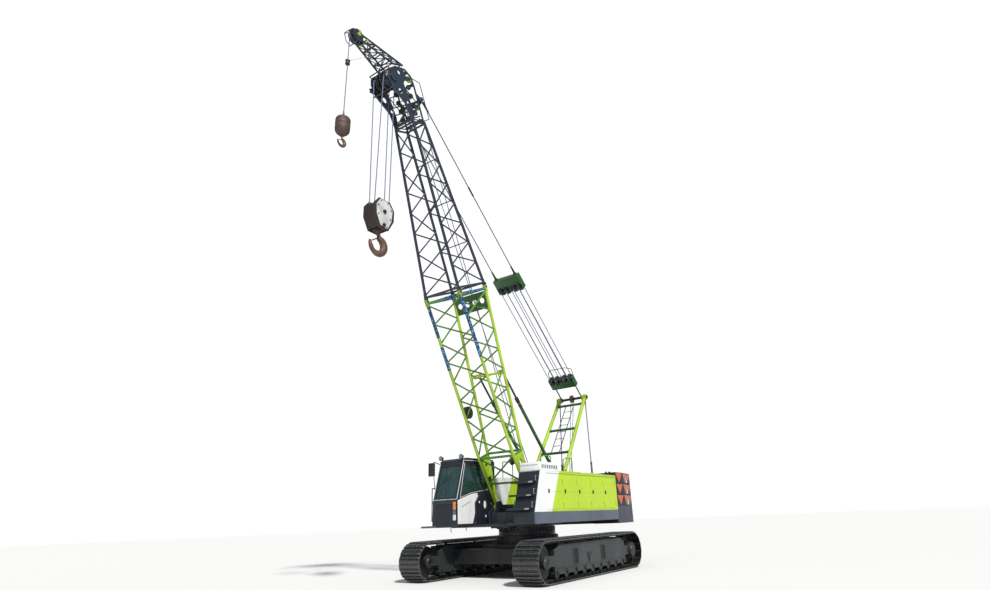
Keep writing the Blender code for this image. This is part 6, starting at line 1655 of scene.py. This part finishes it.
for word, body, start, reach, thick in (("lower", "bail", LOWER + 0.12, SPAN, 0.0140),
                                        ("upper", "stays", UPPER - 0.14, -3.20, 0.0125)):
    work = bmesh.new()
    for x in FALLS_X:                             # the upper runs slide inside the lower ones
        for off in (-1, 1):
            bottom, top = (on_stay(LOWER + 0.12, off * 0.143, x), on_stay(UPPER - 0.14, off * 0.158, x))
            if body == "bail":
                bar(work, bottom, top, thick, 10)
            else:
                bar(work, top + (bottom - top).normalized() * 3.20, top, thick, 10)
    piece(f"{word}_luffing_falls", work, body, wire)
work = bmesh.new()
bar(work, at(0, 2.655, 1.84), TOP + Vector((0, 0.124, -0.02)), 0.0105, 10)
bar(work, TOP + Vector((0, -0.06, 0.110)), at(0, 2.62, 1.92), 0.0105, 10)
piece("luffing_lead", work, "upper", wire)

# ---------------------------------------------------------------- stays and backstops
# Two wire pendants with swaged sockets hold the boom.  Behind it two telescopic stops push:
# green tubes with a black collar, and steel rods that slide in them.

for word, side in (("left", 1), ("right", -1)):
    finish_node(f"{word}_stay", wire)
    finish_node(f"{word}_backstop_rod", running_steel)
    finish_node(f"{word}_backstop_tube", green_paint_and_shade)
work = bmesh.new()
for side in (-1, 1):
    x = side * 0.39
    bar(work, on_stay(UPPER + 0.30, 0, x), on_stay(UPPER + 0.62, 0, x), 0.040, 18, 0.024)
    bar(work, on_stay(UPPER + 0.27, 0, x), on_stay(UPPER + 0.34, 0, x), 0.052, 18)
    pin = Vector((x, STAY_PIN.y, STAY_PIN.z))
    back = (on_stay(UPPER, 0, x) - pin).normalized()
    bar(work, pin + back * 0.42, pin + back * 0.09, 0.024, 18, 0.040)
    shaft(work, pin, side * 0.022, side * 0.034, 0.052, 6)
    middle = on_stay(UPPER + 0.30, 0, x).lerp(pin, 0.5)
    bar(work, middle - back * 0.16, middle + back * 0.16, 0.027, 16)
piece("stay_sockets", work, "stays", running_steel)
for word, side in (("left", 1), ("right", -1)):
    foot = at(side * 0.45, 1.80, 2.06)
    head = on_boom(side * 0.45, 3.88, 0.60)
    way = (head - foot).normalized()
    work = bmesh.new()
    bar(work, foot + way * 3.86, foot + way * 4.005, 0.060, 24)
    bar(work, foot + way * 3.70, foot + way * 3.74, 0.056, 24)
    bar(work, foot + way * 0.10, foot + way * 0.20, 0.056, 24, 0.052)
    piece(f"{word}_backstop_collar", work, f"{word}_backstop_barrel", fitting_black)

# ---------------------------------------------------------------- hoist ropes and boom fittings
# Two hoist ropes climb behind the boom from their drums to the head's guide pulleys.  A cable
# reel with its pale cable hangs on the front of the foot section.

for word, x, y, end in (("main", 0.10, 0.30, on_boom(0.12, 12.16, 0.535)),
                        ("auxiliary", -0.10, 1.08, on_boom(-0.20, 11.95, 0.505))):
    start = at(x, y - 0.10, 2.05)
    rope(f"{word}_hoist_rope", steps_between(start, end, 60), 0.0125, "boom", 8,
         ("upper", "boom", start, start.lerp(end, 0.10)))
work = bmesh.new()
REEL = on_boom(-0.690, 2.95, -0.05)
for x, radius in ((-0.075, 0.185), (0.020, 0.185), (-0.028, 0.110)):
    bar(work, REEL + Vector((x - 0.008 if radius > 0.15 else x - 0.045, 0, 0)),
        REEL + Vector((x + 0.008 if radius > 0.15 else x + 0.045, 0, 0)), radius, 32)
for turn in range(5):
    bmesh.ops.create_cone(work, cap_ends=True, segments=32, radius1=0.150, radius2=0.150, depth=0.014,
                          matrix=Matrix.Translation(REEL + Vector((-0.058 + turn * 0.0165, 0, 0)))
                          @ Matrix.Rotation(math.pi / 2, 4, "Y"))
disc = on_boom(0.36, 1.34, 0.02)                  # horn behind the left leg
shaft(work, disc, -0.03, 0.05, 0.125, 30, 0.095)
bar(work, disc + Vector((0.05, 0, 0)), Vector((FOOT.x + 0.60, disc.y, disc.z)), 0.018, 10)
shaft(work, REEL, -0.095, 0.06, 0.022, 14)
piece("cable_reel", work, "boom", fitting_black)
